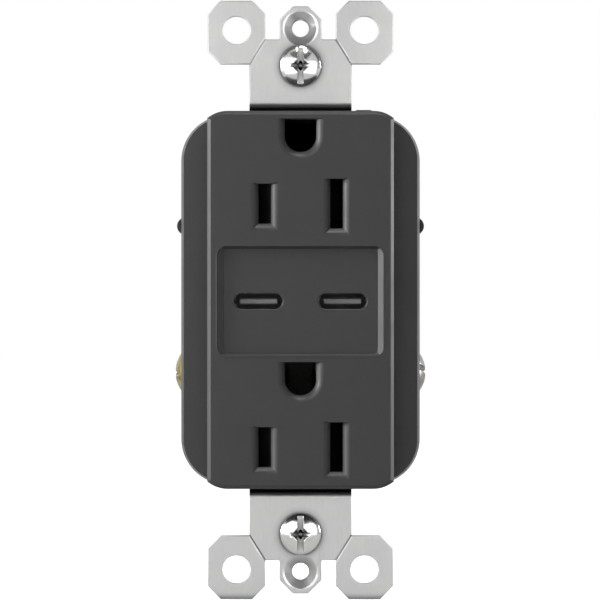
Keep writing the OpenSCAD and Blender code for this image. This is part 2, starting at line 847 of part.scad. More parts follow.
module cover_shell() difference() {
    union() {
        face_block();
        translate([0, 0, seam])
            drafted(shoulder_w, shoulder_h, shoulder_r, shoulder_z - seam, seam_land, shoulder_slope);
        translate([0, panel_y, face_z - over])
            drafted(bead_out_w, bead_out_h, panel_r + bead_w, over + bead_h, over, bead_slope);
    }
    translate([0, 0, seam - over]) {
        linear_extrude(face_under - seam + over)
            rounded(face_w - 2 * cover_wall, face_h - 2 * cover_wall, face_room_r);
        linear_extrude(shoulder_under - seam + over)
            rounded(shoulder_w - 2 * cover_wall, shoulder_h - 2 * cover_wall, shoulder_r - cover_wall);
    }
    ends() translate([-neck_w / 2 - fit_gap, face_h / 2 - 2 * cover_wall, seam - over])
        cube([neck_w + 2 * fit_gap, 3 * cover_wall, over + neck_relief]);
    cover_openings();
}

// The face as a solid: straight sides, and arcs across its corners
module face_block() translate([0, 0, seam]) intersection() {
    drafted(face_w + 2 * face_arc, face_h, face_r, face_tall, face_land, face_bevel);
    along_y(face_h) drafted_profile(face_w, face_tall, face_land, face_bevel);
}

module cover_openings() {
    for (y = outlets) translate([0, y, face_z]) {
        translate([-blade_x, 0, 0]) slot_cut(hot_slot_h, face_t);
        translate([blade_x, 0, 0]) slot_cut(neutral_slot_h, face_t);
        translate([0, ground_rise, 0]) ground_cut(face_t);
    }
    translate([0, panel_y, 0]) {
        translate([0, 0, face_under - over]) linear_extrude(panel_z - face_under + over)
            rounded(insert_flange_w + 2 * fit_gap, insert_flange_h + 2 * fit_gap, window_r + fit_gap);
        translate([0, 0, face_under]) linear_extrude(face_t + over) rounded(window_w, window_h, window_r);
        translate([0, 0, panel_z + lip_land]) intersection() {
            funnel(window_w, window_h, 2 * panel_w - window_w, 2 * panel_h - window_h, 2 * lip_slope);
            linear_extrude(panel_sink + over) rounded(panel_w, panel_h, panel_r);
        }
    }
}

// The chute behind a ground hole, which keeps its pin off the shutters
module ground_chute() translate([0, ground_rise, seam + fit_gap])
    linear_extrude(face_under - seam) difference() {
        ground_outline(chute_wall);
        ground_outline(0);
    }

// Bosses for the assembly screws, beside the side walls
module cover_bosses() ends() both() translate([joint_x, joint_y, seam])
    cylinder(r = boss_r, h = face_under - seam + fit_gap);

// The room that a pair of shutters sweeps through
module shutter_sweep() {
    reach = shutter_reach + shutter_travel + shutter_gap;
    translate([-reach, -shutter_low, neutral_shutter_z])
        cube([2 * reach, shutter_low + shutter_high, hot_shutter_z + shutter_t - neutral_shutter_z]);
}

// Rails above and below a pair of shutters; the upper one leaves room for the ground pin
module shutter_rails() {
    translate([-rail_half_w, -rail_low - rail_t, retainer_front])
        cube([2 * rail_half_w, rail_t, shutter_space]);
    both() translate([ground_pass_r, rail_high, retainer_front])
        cube([rail_half_w - ground_pass_r, rail_t, shutter_space]);
}

module usb_insert() stand() color(charcoal) translate([0, panel_y, 0]) difference() {
    union() {
        translate([0, 0, insert_back]) linear_extrude(insert_front - insert_back)
            rounded(insert_flange_w, insert_flange_h, window_r);
        both() translate([port_x, 0, socket_back]) linear_extrude(face_under - socket_back)
            obround(shell_w + 2 * socket_wall, shell_h + 2 * socket_wall);
    }
    both() translate([port_x, 0, 0]) {
        translate([0, 0, socket_back - over]) linear_extrude(lip_under - socket_back + over)
            obround(shell_w + 2 * shell_gap, shell_h + 2 * shell_gap);
        linear_extrude(panel_z + over) obround(port_w, port_h);
    }
}

// Housing

module rear_housing() stand() color(black) {
    difference() {
        union() {
            difference() {
                housing_shell();
                housing_room();
            }
            intersection() {
                housing_shell();
                union() {
                    housing_columns();
                    both() wire_block(term_x, term_y);
                    mirror([1, 0, 0]) wire_block(earth_x, earth_y);
                }
            }
        }
        screw_seats();
        strap_seat();
        both() well(term_x, term_y);
        mirror([1, 0, 0]) well(earth_x, earth_y);
        both() wire_holes(term_x + wire_gap_x, term_y);
        mirror([1, 0, 0]) wire_holes(earth_x + wire_gap_x, earth_y);
    }
    both() side_rib();
    end_lug();
}

module housing_shell() translate([0, 0, seam]) mirror([0, 0, 1])
    pillow(housing_w, housing_h, housing_r, seam - housing_back, housing_edge);

module housing_room() translate([0, 0, housing_floor]) linear_extrude(seam - housing_floor + over)
    rounded(housing_w - 2 * housing_wall, housing_h - 2 * housing_wall, housing_r - housing_wall);

// Columns through which the assembly screws reach the cover
module housing_columns() ends() both() translate([joint_x, joint_y, housing_back])
    linear_extrude(inner_back - housing_back) {
        circle(column_r);
        translate([-column_r, 0]) square([2 * column_r, housing_h / 2 - joint_y]);
    }

// The thick part of the wall behind a terminal, through which its wires come in
module wire_block(x, y) translate([x - block_in, y - block_h / 2, housing_back])
    cube([housing_w / 2 - x + block_in, block_h, bar_z - housing_back]);

// Seats and holes of the assembly screws
module screw_seats() ends() both() translate([joint_x, joint_y, 0]) {
    translate([0, 0, housing_back - over])
        cylinder(d = joint_head_d + 2 * screw_gap, h = -housing_back - joint_seat + over);
    translate([0, 0, -joint_seat - over]) cylinder(r = joint_hole_r, h = joint_seat + over);
}

// Room for the strap's frame and necks, and for the pin of a plug in the upper ground hole
module strap_seat() {
    pin_room = foot_open + finger_t;
    translate([0, 0, inner_back]) linear_extrude(strap_t + over)
        square([frame_w + 2 * fit_gap, 2 * (frame_half_h + fit_gap)], center = true);
    ends() translate([-neck_w / 2 - fit_gap, housing_h / 2 - 2 * housing_wall, inner_back])
        cube([neck_w + 2 * fit_gap, 3 * housing_wall, strap_t + over]);
    translate([-pin_room, upper_y + ground_rise, pin_end])
        cube([2 * pin_room, pin_r + tip_gap, seam - pin_end + over]);
}

// The well of a terminal, open to the side
module well(x, y) translate([x, y - well_side / 2, term_z - well_side / 2])
    cube([housing_w, well_side, well_side]);

// Wire holes with funnelled mouths
module wire_holes(x, y) for (side = [-1, 1]) translate([x, y + side * wire_pitch / 2, housing_back]) {
    translate([0, 0, -over]) cylinder(d = wire_hole_d, h = bar_z - housing_back + 2 * over);
    translate([0, 0, -press_gap])
        cylinder(d1 = wire_hole_d + 2 * wire_mouth, d2 = wire_hole_d, h = wire_mouth_d);
}

module side_rib() translate([housing_w / 2 + rib_stand, rib_y, rib_start - rib_l]) {
    cylinder(r = rib_r, h = rib_l);
    sphere(rib_r);
}

// The lug on the upper end that shows above the cover
module end_lug() translate([lug_x - lug_w / 2, housing_h / 2 - housing_wall / 2, seam - fit_gap - lug_l])
    cube([lug_w, housing_wall / 2 + lug_out, lug_l]);

// Strap

module mounting_strap() stand() color(steel) {
    ends() {
        strap_end();
        translate([0, plate_y, 0]) drawn_collar();
        along_x(neck_w) jog_profile();
    }
    translate([0, 0, inner_back]) linear_extrude(strap_t) frame_outline();
    earth_tab();
}

module strap_end() difference() {
    linear_extrude(strap_t) end_outline();
    translate([0, plate_y, -over]) cylinder(r = mouth_r, h = strap_t + 2 * over);
    translate([0, box_y, -over]) linear_extrude(strap_t + 2 * over) obround(box_slot_l, box_slot_w);
    both() {
        translate([ear_x, ear_y, -over]) cylinder(d = ear_hole_d, h = strap_t + 2 * over);
        score_line(score_d, 225);
        score_line(strap_t - score_d, 45);
    }
}

// The flared mouth of a wall plate screw's hole and the collar drawn back from it
module drawn_collar() rotate_extrude() polygon([
    [mouth_r, 0], [mouth_r, strap_t], [plate_hole_r, 0], [plate_hole_r, -collar_d],
    [plate_hole_r + collar_wall, -collar_d], [plate_hole_r + collar_wall, 0]
]);

// The V groove from the neck's edge to the inner corner of an ear, its root at z
module score_line(z, turn) {
    run = [ear_in - neck_w / 2, neck_end - ear_low];
    translate([neck_w / 2, ear_low, z]) rotate([0, 0, atan2(run.y, run.x)])
        translate([-over, 0, 0]) rotate([turn, 0, 0]) cube([norm(run) + 2 * over, 2 * score_d, 2 * score_d]);
}

// One end of the strap: neck, wall plate tab and ears
module end_outline() {
    tab_l = tab_end - neck_end;
    translate([-neck_w / 2, outer_start]) square([neck_w, ear_low - outer_start]);
    polygon([[-neck_w / 2, ear_low], [neck_w / 2, ear_low], [ear_in, neck_end], [-ear_in, neck_end]]);
    translate([0, neck_end]) polygon([
        [-tab_w / 2, -over], [tab_w / 2, -over], [tab_w / 2, tab_l - tab_cut], [tab_w / 2 - tab_cut, tab_l],
        [tab_cut - tab_w / 2, tab_l], [-tab_w / 2, tab_l - tab_cut]
    ]);
    both() polygon([
        [ear_in, neck_end], [neck_w / 2, ear_low], [ear_out - ear_cut, ear_low], [ear_out, ear_low + ear_cut],
        [ear_out, ear_high - ear_cut], [ear_out - ear_cut, ear_high], [ear_in + ear_cut, ear_high],
        [ear_in, ear_high - ear_cut]
    ]);
}

// The two opposite bends, in y and z, by which the neck steps back to the frame
module jog_profile() {
    translate([outer_start, strap_t - bend_out]) mirror([1, 0]) quarter_ring(bend_r, strap_t);
    translate([inner_end, inner_back + bend_out]) mirror([0, 1]) quarter_ring(bend_r, strap_t);
    translate([inner_end + bend_r, inner_back + bend_out])
        square([strap_t, strap_t - inner_back - 2 * bend_out]);
}

module frame_outline() difference() {
    union() {
        square([neck_w, 2 * inner_end], center = true);
        square([frame_w, 2 * frame_half_h], center = true);
    }
    translate([0, panel_y]) rounded(frame_open_w, frame_open_h, frame_open_r);
    for (y = outlets) translate([0, y]) {
        both() translate([blade_x, 0]) rounded(blade_pass_w, blade_pass_h, blade_pass_r);
        translate([0, ground_rise]) {
            ground_outline(ground_pass);
            both() translate([eyelet_x, 0]) circle(eyelet_r + press_gap);
        }
    }
    ends() both() translate([joint_x, joint_y]) circle(joint_hole_r);
    translate([-frame_w, earth_y - earth_tab_h / 2 - earth_tab_cut])
        square([frame_w - earth_x + strap_t + earth_bend_r, earth_tab_h + 2 * earth_tab_cut]);
}

// The tab bent back from the frame's left edge, which carries the ground screw
module earth_tab() mirror([1, 0, 0]) {
    bend_x = earth_x - strap_t - earth_bend_r;
    bend_z = inner_back - earth_bend_r;
    translate([0, earth_y, 0]) along_y(earth_tab_h) {
        translate([bend_x, bend_z]) quarter_ring(earth_bend_r, strap_t);
        translate([bend_x - over, inner_back]) square([over, strap_t]);
    }
    difference() {
        translate([earth_x - strap_t, earth_y - earth_tab_h / 2, earth_tab_end])
            cube([strap_t, earth_tab_h, bend_z - earth_tab_end]);
        at_side(earth_x - strap_t - over, earth_y) cylinder(r = term_hole_r, h = strap_t + 2 * over);
    }
}

// Screws and washers

// A captive screw: its neck is thinner than its thread
module box_screw() translate([0, box_y, strap_t]) {
    domed_head(box_head_d, box_head_h, box_head_rim);
    translate([0, 0, -box_neck_l]) {
        cylinder(d = box_neck_d, h = box_neck_l);
        shank(box_screw_d, box_screw_l - box_neck_l);
    }
}

module upper_box_screw() stand() color(steel) box_screw();

module lower_box_screw() stand() color(steel) mirror([0, 1, 0]) box_screw();

module screw_washers() stand() color(fibre) ends() translate([0, box_y, -washer_t]) difference() {
    translate([-washer_side / 2, -washer_side / 2, 0]) cube([washer_side, washer_side, washer_t]);
    translate([0, 0, -over]) cylinder(d = box_neck_d + 2 * thread_gap, h = washer_t + 2 * over);
}

module assembly_screws() stand() color(steel) ends() both() translate([joint_x, joint_y, -joint_seat]) {
    shank_l = joint_seat + joint_tip - joint_tip_l;
    cylinder(d = joint_screw_d, h = shank_l);
    translate([0, 0, shank_l]) cylinder(d1 = joint_screw_d, d2 = joint_screw_d / 3, h = joint_tip_l);
    mirror([0, 0, 1]) difference() {
        cylinder(d = joint_head_d, h = joint_head_h);
        for (turn = [0, 90]) rotate([0, 0, turn])
            translate([-joint_cross_l / 2, -joint_cross_w / 2, joint_head_h - joint_cross_d])
                cube([joint_cross_l, joint_cross_w, 2 * joint_cross_d]);
    }
}

// Terminals

module terminal_screw() rotate([0, 0, 90]) {
    domed_head(term_head_d, term_head_h, term_head_rim);
    shank(term_screw_d, term_screw_l);
}

module neutral_terminal_screw() stand() color(nickel) at_side(term_head_x, term_y) terminal_screw();

module hot_terminal_screw() stand() color(brass)
    mirror([1, 0, 0]) at_side(term_head_x, term_y) terminal_screw();

module ground_terminal_screw() stand() color(green)
    mirror([1, 0, 0]) at_side(earth_head_x, earth_y) terminal_screw();

// A square plate with cut corners and two wire grooves on its inner face, on the axis of its screw
module clamp_plate() difference() {
    translate([0, 0, -clamp_t]) linear_extrude(clamp_t) difference() {
        square(clamp_side, center = true);
        for (turn = [0 : 90 : 270]) rotate(turn) translate([clamp_side / 2, clamp_side / 2])
            rotate(45) square(clamp_corner, center = true);
    }
    translate([0, 0, -clamp_t - over]) cylinder(r = clamp_hole_r, h = clamp_t + 2 * over);
    for (side = [-1, 1]) translate([-clamp_side, side * wire_pitch / 2, groove_d - groove_r - clamp_t])
        rotate([0, 90, 0]) cylinder(r = groove_r, h = 2 * clamp_side);
}

module neutral_clamp_plate() stand() color(nickel) at_side(term_head_x, term_y) clamp_plate();

module hot_clamp_plate() stand() color(brass) mirror([1, 0, 0]) at_side(term_head_x, term_y) clamp_plate();

module ground_clamp_plate() stand() color(steel)
    mirror([1, 0, 0]) at_side(earth_head_x, earth_y) clamp_plate();

// Contacts

module neutral_contact_strip() stand() color(brass) contact_strip(neutral_clip_h);

module hot_contact_strip() stand() color(brass) mirror([1, 0, 0]) contact_strip(hot_clip_h);

// One stamping: a bar along both outlets, a clip for each blade, the terminal plate and a solder tail
module contact_strip(clip_h) {
    translate([blade_x - bar_w / 2, lower_y - clip_h / 2, bar_z])
        cube([bar_w, upper_y - lower_y + clip_h, strip_t]);
    for (y = outlets) translate([blade_x, y, 0]) along_y(clip_h) both() clip_leaf();
    translate([blade_x, term_y - arm_h / 2, bar_z]) cube([term_x - blade_x, arm_h, strip_t]);
    difference() {
        translate([term_x - strip_t, term_y - arm_h / 2, bar_z]) cube([strip_t, arm_h, plate_top - bar_z]);
        at_side(term_x - strip_t - over, term_y) cylinder(r = term_hole_r, h = strip_t + 2 * over);
    }
    translate([blade_x - tail_w / 2, tail_y - tail_t / 2, power_back - tail_out])
        cube([tail_w, tail_t, bar_z - power_back + tail_out]);
}

// One spring leaf: up from the bar, in to the grip and out to the mouth
module clip_leaf() polygon([
    [clip_foot, bar_z], [clip_foot, knee_z], [grip_gap / 2 + leaf_t, grip_z], [clip_mouth + leaf_t, clip_top],
    [clip_mouth, clip_top], [grip_gap / 2, grip_z], [clip_foot - leaf_t, knee_z], [clip_foot - leaf_t, bar_z]
]);

module upper_ground_contact() stand() color(brass) translate([0, upper_y + ground_rise, 0]) ground_contact();

module lower_ground_contact() stand() color(brass) translate([0, lower_y + ground_rise, 0]) ground_contact();

// A forked foot under the strap, open at the top, with two fingers bent back round the pin
module ground_contact() {
    difference() {
        translate([-foot_w / 2, -foot_low, foot_back]) cube([foot_w, foot_low + finger_w / 2, finger_t]);
        translate([0, 0, foot_back - over]) linear_extrude(finger_t + 2 * over) {
            circle(foot_hole_r);
            translate([-foot_hole_r, 0]) square(2 * foot_hole_r);
            both() translate([eyelet_x, 0]) circle(eyelet_r + press_gap);
        }
    }
    along_y(finger_w) both() polygon([
        [foot_open, inner_back], [foot_open + finger_t, inner_back], [foot_open + finger_t, finger_knee],
        [finger_gap / 2 + finger_t, finger_grip], [foot_open + finger_t, finger_end],
        [foot_open, finger_end], [finger_gap / 2, finger_grip], [foot_open, finger_knee]
    ]);
}

module ground_eyelets() stand() color(brass) for (y = outlets) translate([0, y + ground_rise, 0]) both()
    translate([eyelet_x, 0, foot_back]) difference() {
        union() {
            cylinder(r = eyelet_r, h = strap_t + finger_t);
            translate([0, 0, strap_t + finger_t]) cylinder(r = eyelet_head_r, h = eyelet_head_t);
            translate([0, 0, -eyelet_head_t]) cylinder(r = eyelet_head_r, h = eyelet_head_t);
        }
        translate([0, 0, -over]) cylinder(r = eyelet_r / 2, h = strap_t + finger_t + 2 * over);
    }

// Carrier: a floor behind the contacts, walls that part them, and posts for the power board
module contact_carrier() stand() color(white) {
    difference() {
        union() {
            translate([0, 0, carrier_back]) linear_extrude(carrier_t) carrier_outline();
            translate([0, 0, bar_z]) linear_extrude(inner_back - bar_z) carrier_walls();
        }
        carrier_room();
        both() translate([blade_x, tail_y, carrier_back - over]) linear_extrude(carrier_t + 2 * over)
            square([tail_w + 2 * pass_gap, tail_t + 2 * pass_gap], center = true);
        translate([0, 0, carrier_back - over]) linear_extrude(carrier_t + 2 * over)
            square([header_w + 2 * pass_gap, header_h + 2 * pass_gap], center = true);
    }
    both() ends() translate([post_x, post_y, power_front]) cylinder(r = post_r, h = post_l);
}

// Room for the USB board, the ground contacts' feet, the contact strips' arms and the ground screw's tip
module carrier_room() {
    foot_room = foot_back - eyelet_head_t - fit_gap;
    translate([-carrier_w, panel_y - usb_board_h / 2 - pass_gap, usb_board_back])
        cube([2 * carrier_w, usb_board_h + 2 * pass_gap, over - usb_board_back]);
    for (y = outlets) translate([-carrier_w, y + ground_rise - foot_low - pass_gap, foot_room])
        cube([2 * carrier_w, foot_low + eyelet_head_r + 2 * pass_gap, over - foot_room]);
    translate([-carrier_w, term_y - arm_h / 2 - pass_gap, bar_z])
        cube([2 * carrier_w, arm_h + 2 * pass_gap, strip_t + pass_gap]);
    mirror([1, 0, 0]) at_side(earth_x - term_screw_l, earth_y)
        cylinder(r = clamp_hole_r, h = term_screw_l);
}

module carrier_outline() {
    corner = column_r + carrier_gap;
    block_room = block_h + 2 * block_gap;
    difference() {
        square([carrier_w, carrier_h], center = true);
        ends() both() translate([joint_x, joint_y]) {
            circle(corner);
            translate([-corner, 0]) square([carrier_w, carrier_h]);
            translate([0, -corner]) square([carrier_w, carrier_h]);
        }
        both() translate([term_x - block_in - block_gap, term_y - block_room / 2])
            square([carrier_w, block_room]);
        mirror([1, 0]) translate([earth_x - block_in - block_gap, earth_y - block_room / 2])
            square([carrier_w, block_room]);
    }
}

module carrier_walls() both() {
    low = -carrier_h / 2;
    tall = upper_y + neutral_slot_h / 2 + channel_past - low;
    translate([channel_in - channel_wall, low]) square([channel_wall, tall]);
    translate([channel_out, low]) square([channel_wall, tall]);
}

// Shutters

module upper_hot_shutter() stand() color(ferrite) translate([0, upper_y, 0]) hot_shutter();

module lower_hot_shutter() stand() color(ferrite) translate([0, lower_y, 0]) hot_shutter();

module upper_neutral_shutter() stand() color(ferrite) translate([0, upper_y, 0]) neutral_shutter();

module lower_neutral_shutter() stand() color(ferrite) translate([0, lower_y, 0]) neutral_shutter();

// The front slide ends behind the hot slot in a ramp and has a long window for the neutral blade
module hot_shutter() difference() {
    shutter_plate(hot_shutter_z);
    shutter_window(blade_x - slot_clear - shutter_travel, shutter_edge);
    ramp_cut(hot_shutter_z);
    spring_tunnel();
}

// The rear slide is the same from the other side; its window lets the hot blade through once it has moved
module neutral_shutter() difference() {
    mirror([1, 0, 0]) shutter_plate(neutral_shutter_z);
    shutter_window(shutter_travel - shutter_edge, shutter_travel - blade_x + slot_clear);
    mirror([1, 0, 0]) ramp_cut(neutral_shutter_z);
    spring_tunnel();
}

module shutter_plate(z) translate([-shutter_edge, -shutter_low, z])
    cube([shutter_edge + shutter_reach, shutter_low + shutter_high, shutter_t]);

module shutter_window(x0, x1) translate([x0, -shutter_window_h / 2, neutral_shutter_z - over])
    cube([x1 - x0, shutter_window_h, shutter_space + 2 * over]);

// Slopes the front of a slide behind its slot, so that a blade pushes it aside
module ramp_cut(z) translate([-shutter_edge, 0, z]) along_y(shutter_window_h) polygon([
    [-over, ramp_foot], [0, ramp_foot], [2 * slot_clear, shutter_t], [2 * slot_clear, shutter_t + over],
    [-over, shutter_t + over]
]);

module spring_tunnel() translate([0, spring_rise, shutter_mid]) rotate([0, 90, 0])
    cylinder(r = spring_tunnel_r, h = spring_tunnel_l, center = true);

module upper_shutter_spring() stand() color(steel) translate([0, upper_y, 0]) shutter_spring();

module lower_shutter_spring() stand() color(steel) translate([0, lower_y, 0]) shutter_spring();

// The spring's wire as one tube along a helix on the x axis
ring_steps = 8;
ring_turn = 360 / ring_steps;
spring_rings = ring_steps * spring_turns;
spring_sides = 6;
spring_r = (spring_d - spring_wire) / 2;
spring_pitch = (spring_l - spring_wire) / spring_turns;
spring_lead = atan2(spring_pitch, 2 * PI * spring_r);

function coil_point(i) = [
    spring_pitch * i / ring_steps - (spring_l - spring_wire) / 2,
    spring_r * cos(ring_turn * i),
    spring_r * sin(ring_turn * i)
];

// A point of the tube's ring i: out along the radius, and square to the wire's run
function tube_point(i, k) = let (
    a = ring_turn * i,
    out = [0, cos(a), sin(a)],
    across = [cos(spring_lead), sin(a) * sin(spring_lead), -cos(a) * sin(spring_lead)],
    turn = 360 * k / spring_sides
) coil_point(i) + spring_wire / 2 * (cos(turn) * out + sin(turn) * across);

function ring_corner(i, k) = i * spring_sides + k % spring_sides;

// The two triangles between the rings i and i + 1 at the side k
function ring_side(i, k) = [
    [ring_corner(i, k), ring_corner(i + 1, k), ring_corner(i + 1, k + 1)],
    [ring_corner(i, k), ring_corner(i + 1, k + 1), ring_corner(i, k + 1)]
];

module shutter_spring() translate([0, spring_rise, shutter_mid]) polyhedron(
    points = [for (i = [0 : spring_rings], k = [0 : spring_sides - 1]) tube_point(i, k)],
    faces = concat(
        [for (i = [0 : spring_rings - 1], k = [0 : spring_sides - 1]) each ring_side(i, k)],
        [for (k = [1 : spring_sides - 2]) [0, k, k + 1]],
        [for (k = [1 : spring_sides - 2])
            [ring_corner(spring_rings, 0), ring_corner(spring_rings, k + 1), ring_corner(spring_rings, k)]]
    )
);

module upper_shutter_retainer() stand() color(charcoal) translate([0, upper_y, 0]) shutter_retainer();

module lower_shutter_retainer() stand() color(charcoal) translate([0, lower_y, 0]) shutter_retainer();

// The plate between the shutters and the strap
module shutter_retainer() translate([0, 0, inner_front]) linear_extrude(retainer_t) difference() {
    translate([-retainer_half_w, -shutter_low]) square([2 * retainer_half_w, shutter_low + shutter_high]);
    both() translate([blade_x, 0])
        rounded(slot_w + 2 * retainer_slot_gap, neutral_slot_h + 2 * retainer_slot_gap, retainer_slot_r);
}

// USB board and ports

module header_spots() for (x = [-0.5, 0.5], i = [0 : header_count - 1])
    translate([x * header_pitch, (i - (header_count - 1) / 2) * header_pitch, 0]) children();

module usb_board() stand() color(board_green) translate([0, 0, usb_board_back]) linear_extrude(board_t)
    difference() {
        translate([0, panel_y]) rounded(usb_board_w, usb_board_h, board_r);
        header_spots() circle(d = header_hole_d);
    }

module usb_control_chips() stand() color(black) both()
    translate([port_x - control_w / 2, control_y, usb_board_front]) cube([control_w, control_w, control_h]);

module left_usb_shell() stand() color(steel) translate([-port_x, panel_y, 0]) usb_shell();

module right_usb_shell() stand() color(steel) translate([port_x, panel_y, 0]) usb_shell();

module usb_shell() translate([0, 0, usb_board_front]) linear_extrude(lip_under - usb_board_front)
    difference() {
        obround(shell_w, shell_h);
        obround(shell_w - 2 * shell_t, shell_h - 2 * shell_t);
    }

module left_usb_tongue() stand() color(ferrite) translate([-port_x, panel_y, 0]) usb_tongue();

module right_usb_tongue() stand() color(ferrite) translate([port_x, panel_y, 0]) usb_tongue();

// A base that fills the shell and the tongue that stands in front of it
module usb_tongue() {
    inset = shell_t + press_gap;
    translate([0, 0, usb_board_front]) linear_extrude(tongue_root - usb_board_front)
        obround(shell_w - 2 * inset, shell_h - 2 * inset);
    translate([-tongue_w / 2, -tongue_t / 2, tongue_root]) cube([tongue_w, tongue_t, tongue_l]);
    translate([-tongue_w / 2, -tongue_t / 2 - contact_t, tongue_tip - contact_end + press_gap])
        cube([tongue_w, tongue_t + 2 * contact_t, contact_end - press_gap]);
}

module left_usb_contacts() stand() color(gold) translate([-port_x, panel_y, 0]) usb_contacts();

module right_usb_contacts() stand() color(gold) translate([port_x, panel_y, 0]) usb_contacts();

module usb_contacts() ends() for (i = [0 : contact_count - 1])
    translate([(i - (contact_count - 1) / 2) * contact_pitch - contact_w / 2, tongue_t / 2, tongue_root])
        cube([contact_w, contact_t, tongue_l - contact_end]);

module header_spacer() stand() color(black) translate([0, 0, power_front]) linear_extrude(header_t)
    difference() {
        square([header_w, header_h], center = true);
        header_spots() square(header_pin, center = true);
    }

module header_pins() stand() color(gold) translate([0, 0, power_back - pin_out])
    linear_extrude(usb_board_front - power_back + 2 * pin_out)
        header_spots() square(header_pin, center = true);

module power_board() stand() color(board_green) translate([0, 0, power_back]) linear_extrude(board_t)
    difference() {
        rounded(power_board_w, power_board_h, board_r);
        header_spots() circle(d = header_hole_d);
        both() translate([blade_x, tail_y])
            square([tail_w + 2 * fit_gap, tail_t + 2 * fit_gap], center = true);
    }

// Power supply

// Something that stands on the back of the power board: z = 0 is the board, and z runs on towards the back
module on_power_board(x, y) translate([x, y, power_back]) mirror([0, 0, 1]) children();

// The middle of the transformer, its axis turned along x
module on_spool() on_power_board(0, trafo_y) translate([0, 0, core_lift + core_h / 2])
    rotate([0, 90, 0]) children();

module transformer_core() stand() color(ferrite) on_power_board(0, trafo_y) translate([0, 0, core_lift])
    along_y(core_t) difference() {
        translate([-core_w / 2, 0]) square([core_w, core_h]);
        for (z = [core_leg, core_h - core_leg - window_z])
            translate([core_leg - core_w / 2, z]) square([core_w - 2 * core_leg, window_z]);
    }

// The spool round the core's middle leg, on four feet
module transformer_bobbin() stand() color(black) {
    inner = [core_leg + 2 * press_gap, core_t + 2 * press_gap];
    on_spool() difference() {
        union() {
            linear_extrude(spool_l, center = true) spool_outline();
            for (side = [0, 1]) mirror([0, 0, side]) translate([0, 0, spool_l / 2 - flange_t])
                linear_extrude(flange_t) square([flange_h, flange_w], center = true);
        }
        linear_extrude(core_w, center = true) square(inner, center = true);
    }
    both() on_power_board(spool_l / 2 - flange_t, trafo_y) ends() translate([0, foot_y, 0])
        cube([flange_t, foot_l, core_lift + core_h / 2]);
}

module spool_outline() square([core_leg + 2 * bobbin_wall, core_t + 2 * bobbin_wall], center = true);

module transformer_winding() stand() color(gold) on_spool()
    linear_extrude(spool_l - 2 * flange_t, center = true) difference() {
        rounded(flange_h - 2 * winding_gap, flange_w - 2 * winding_gap, winding_r);
        spool_outline();
    }

// A can that stands on the board, with the groove above its base
module can(d, h) difference() {
    cylinder(d = d, h = h);
    translate([0, 0, can_groove_z]) difference() {
        cylinder(d = d + over, h = can_groove_h);
        cylinder(d = d - 2 * can_groove_d, h = can_groove_h);
    }
}

module bulk_capacitors() stand() color(black) both() on_power_board(bulk_x, bulk_y) can(bulk_d, bulk_h);

module output_capacitors() stand() color(steel)
    both() on_power_board(output_x, output_y) can(output_d, output_h);

module filter_choke() stand() color(copper) on_power_board(choke_x, choke_y)
    rotate_extrude() translate([choke_ring_r, choke_r]) circle(choke_r);

// A square body between two end caps
module inlet_fuse() stand() color(white) on_power_board(fuse_x, fuse_y) translate([-fuse_w / 2, 0, 0]) {
    ends() translate([0, fuse_l / 2 - cap_l, 0]) cube([fuse_w, cap_l, fuse_w]);
    translate([cap_step / 2, -fuse_l / 2, 0]) cube([fuse_w - cap_step, fuse_l, fuse_w - cap_step]);
}

module bridge_rectifier() stand() color(black) on_power_board(bridge_x, bridge_y)
    translate([-bridge_w / 2, -bridge_l / 2, 0]) cube([bridge_w, bridge_l, bridge_h]);

module suppression_capacitor() stand() color(gold) on_power_board(film_x, film_y)
    linear_extrude(film_h) rounded(film_w, film_t, film_r);

module isolation_capacitor() stand() color(blue) on_power_board(disc_x, disc_y)
    translate([0, 0, disc_d / 2]) rotate([0, 90, 0]) cylinder(d = disc_d, h = disc_t, center = true);

module optocoupler() stand() color(white) on_power_board(opto_x, opto_y)
    translate([-opto_w / 2, -opto_l / 2, 0]) cube([opto_w, opto_l, opto_h]);

// Flat chips on the front of the power board
module switching_chips() stand() color(black) for (spot = chip_spots)
    translate([spot.x - chip_w / 2, spot.y - chip_l / 2, power_front]) cube([chip_w, chip_l, chip_h]);

face_cover();
usb_insert();
rear_housing();
mounting_strap();
assembly_screws();
upper_box_screw();
lower_box_screw();
screw_washers();
hot_terminal_screw();
neutral_terminal_screw();
ground_terminal_screw();
hot_clamp_plate();
neutral_clamp_plate();
ground_clamp_plate();
hot_contact_strip();
neutral_contact_strip();
upper_ground_contact();
lower_ground_contact();
ground_eyelets();
contact_carrier();
upper_hot_shutter();
upper_neutral_shutter();
upper_shutter_spring();
upper_shutter_retainer();
lower_hot_shutter();
lower_neutral_shutter();
lower_shutter_spring();
lower_shutter_retainer();
usb_board();
usb_control_chips();
left_usb_shell();
right_usb_shell();
left_usb_tongue();
right_usb_tongue();
left_usb_contacts();
right_usb_contacts();
header_spacer();
header_pins();
power_board();
transformer_core();
transformer_bobbin();
transformer_winding();
bulk_capacitors();
output_capacitors();
filter_choke();
inlet_fuse();
bridge_rectifier();
suppression_capacitor();
isolation_capacitor();
optocoupler();
switching_chips();
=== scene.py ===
"""Duplex wall outlet with two USB-C ports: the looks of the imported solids.

Each sub-assembly is a class that takes its solids from the frame, rounds their edges, adds what
repeats or follows a path, and dresses the pieces in the finishes listed below.
"""

import json
import logging
import math
from dataclasses import dataclass
from enum import Enum
from typing import Callable, Dict, List, Optional, Sequence, Tuple, Union

import bmesh
import bpy
from mathutils import Matrix, Vector


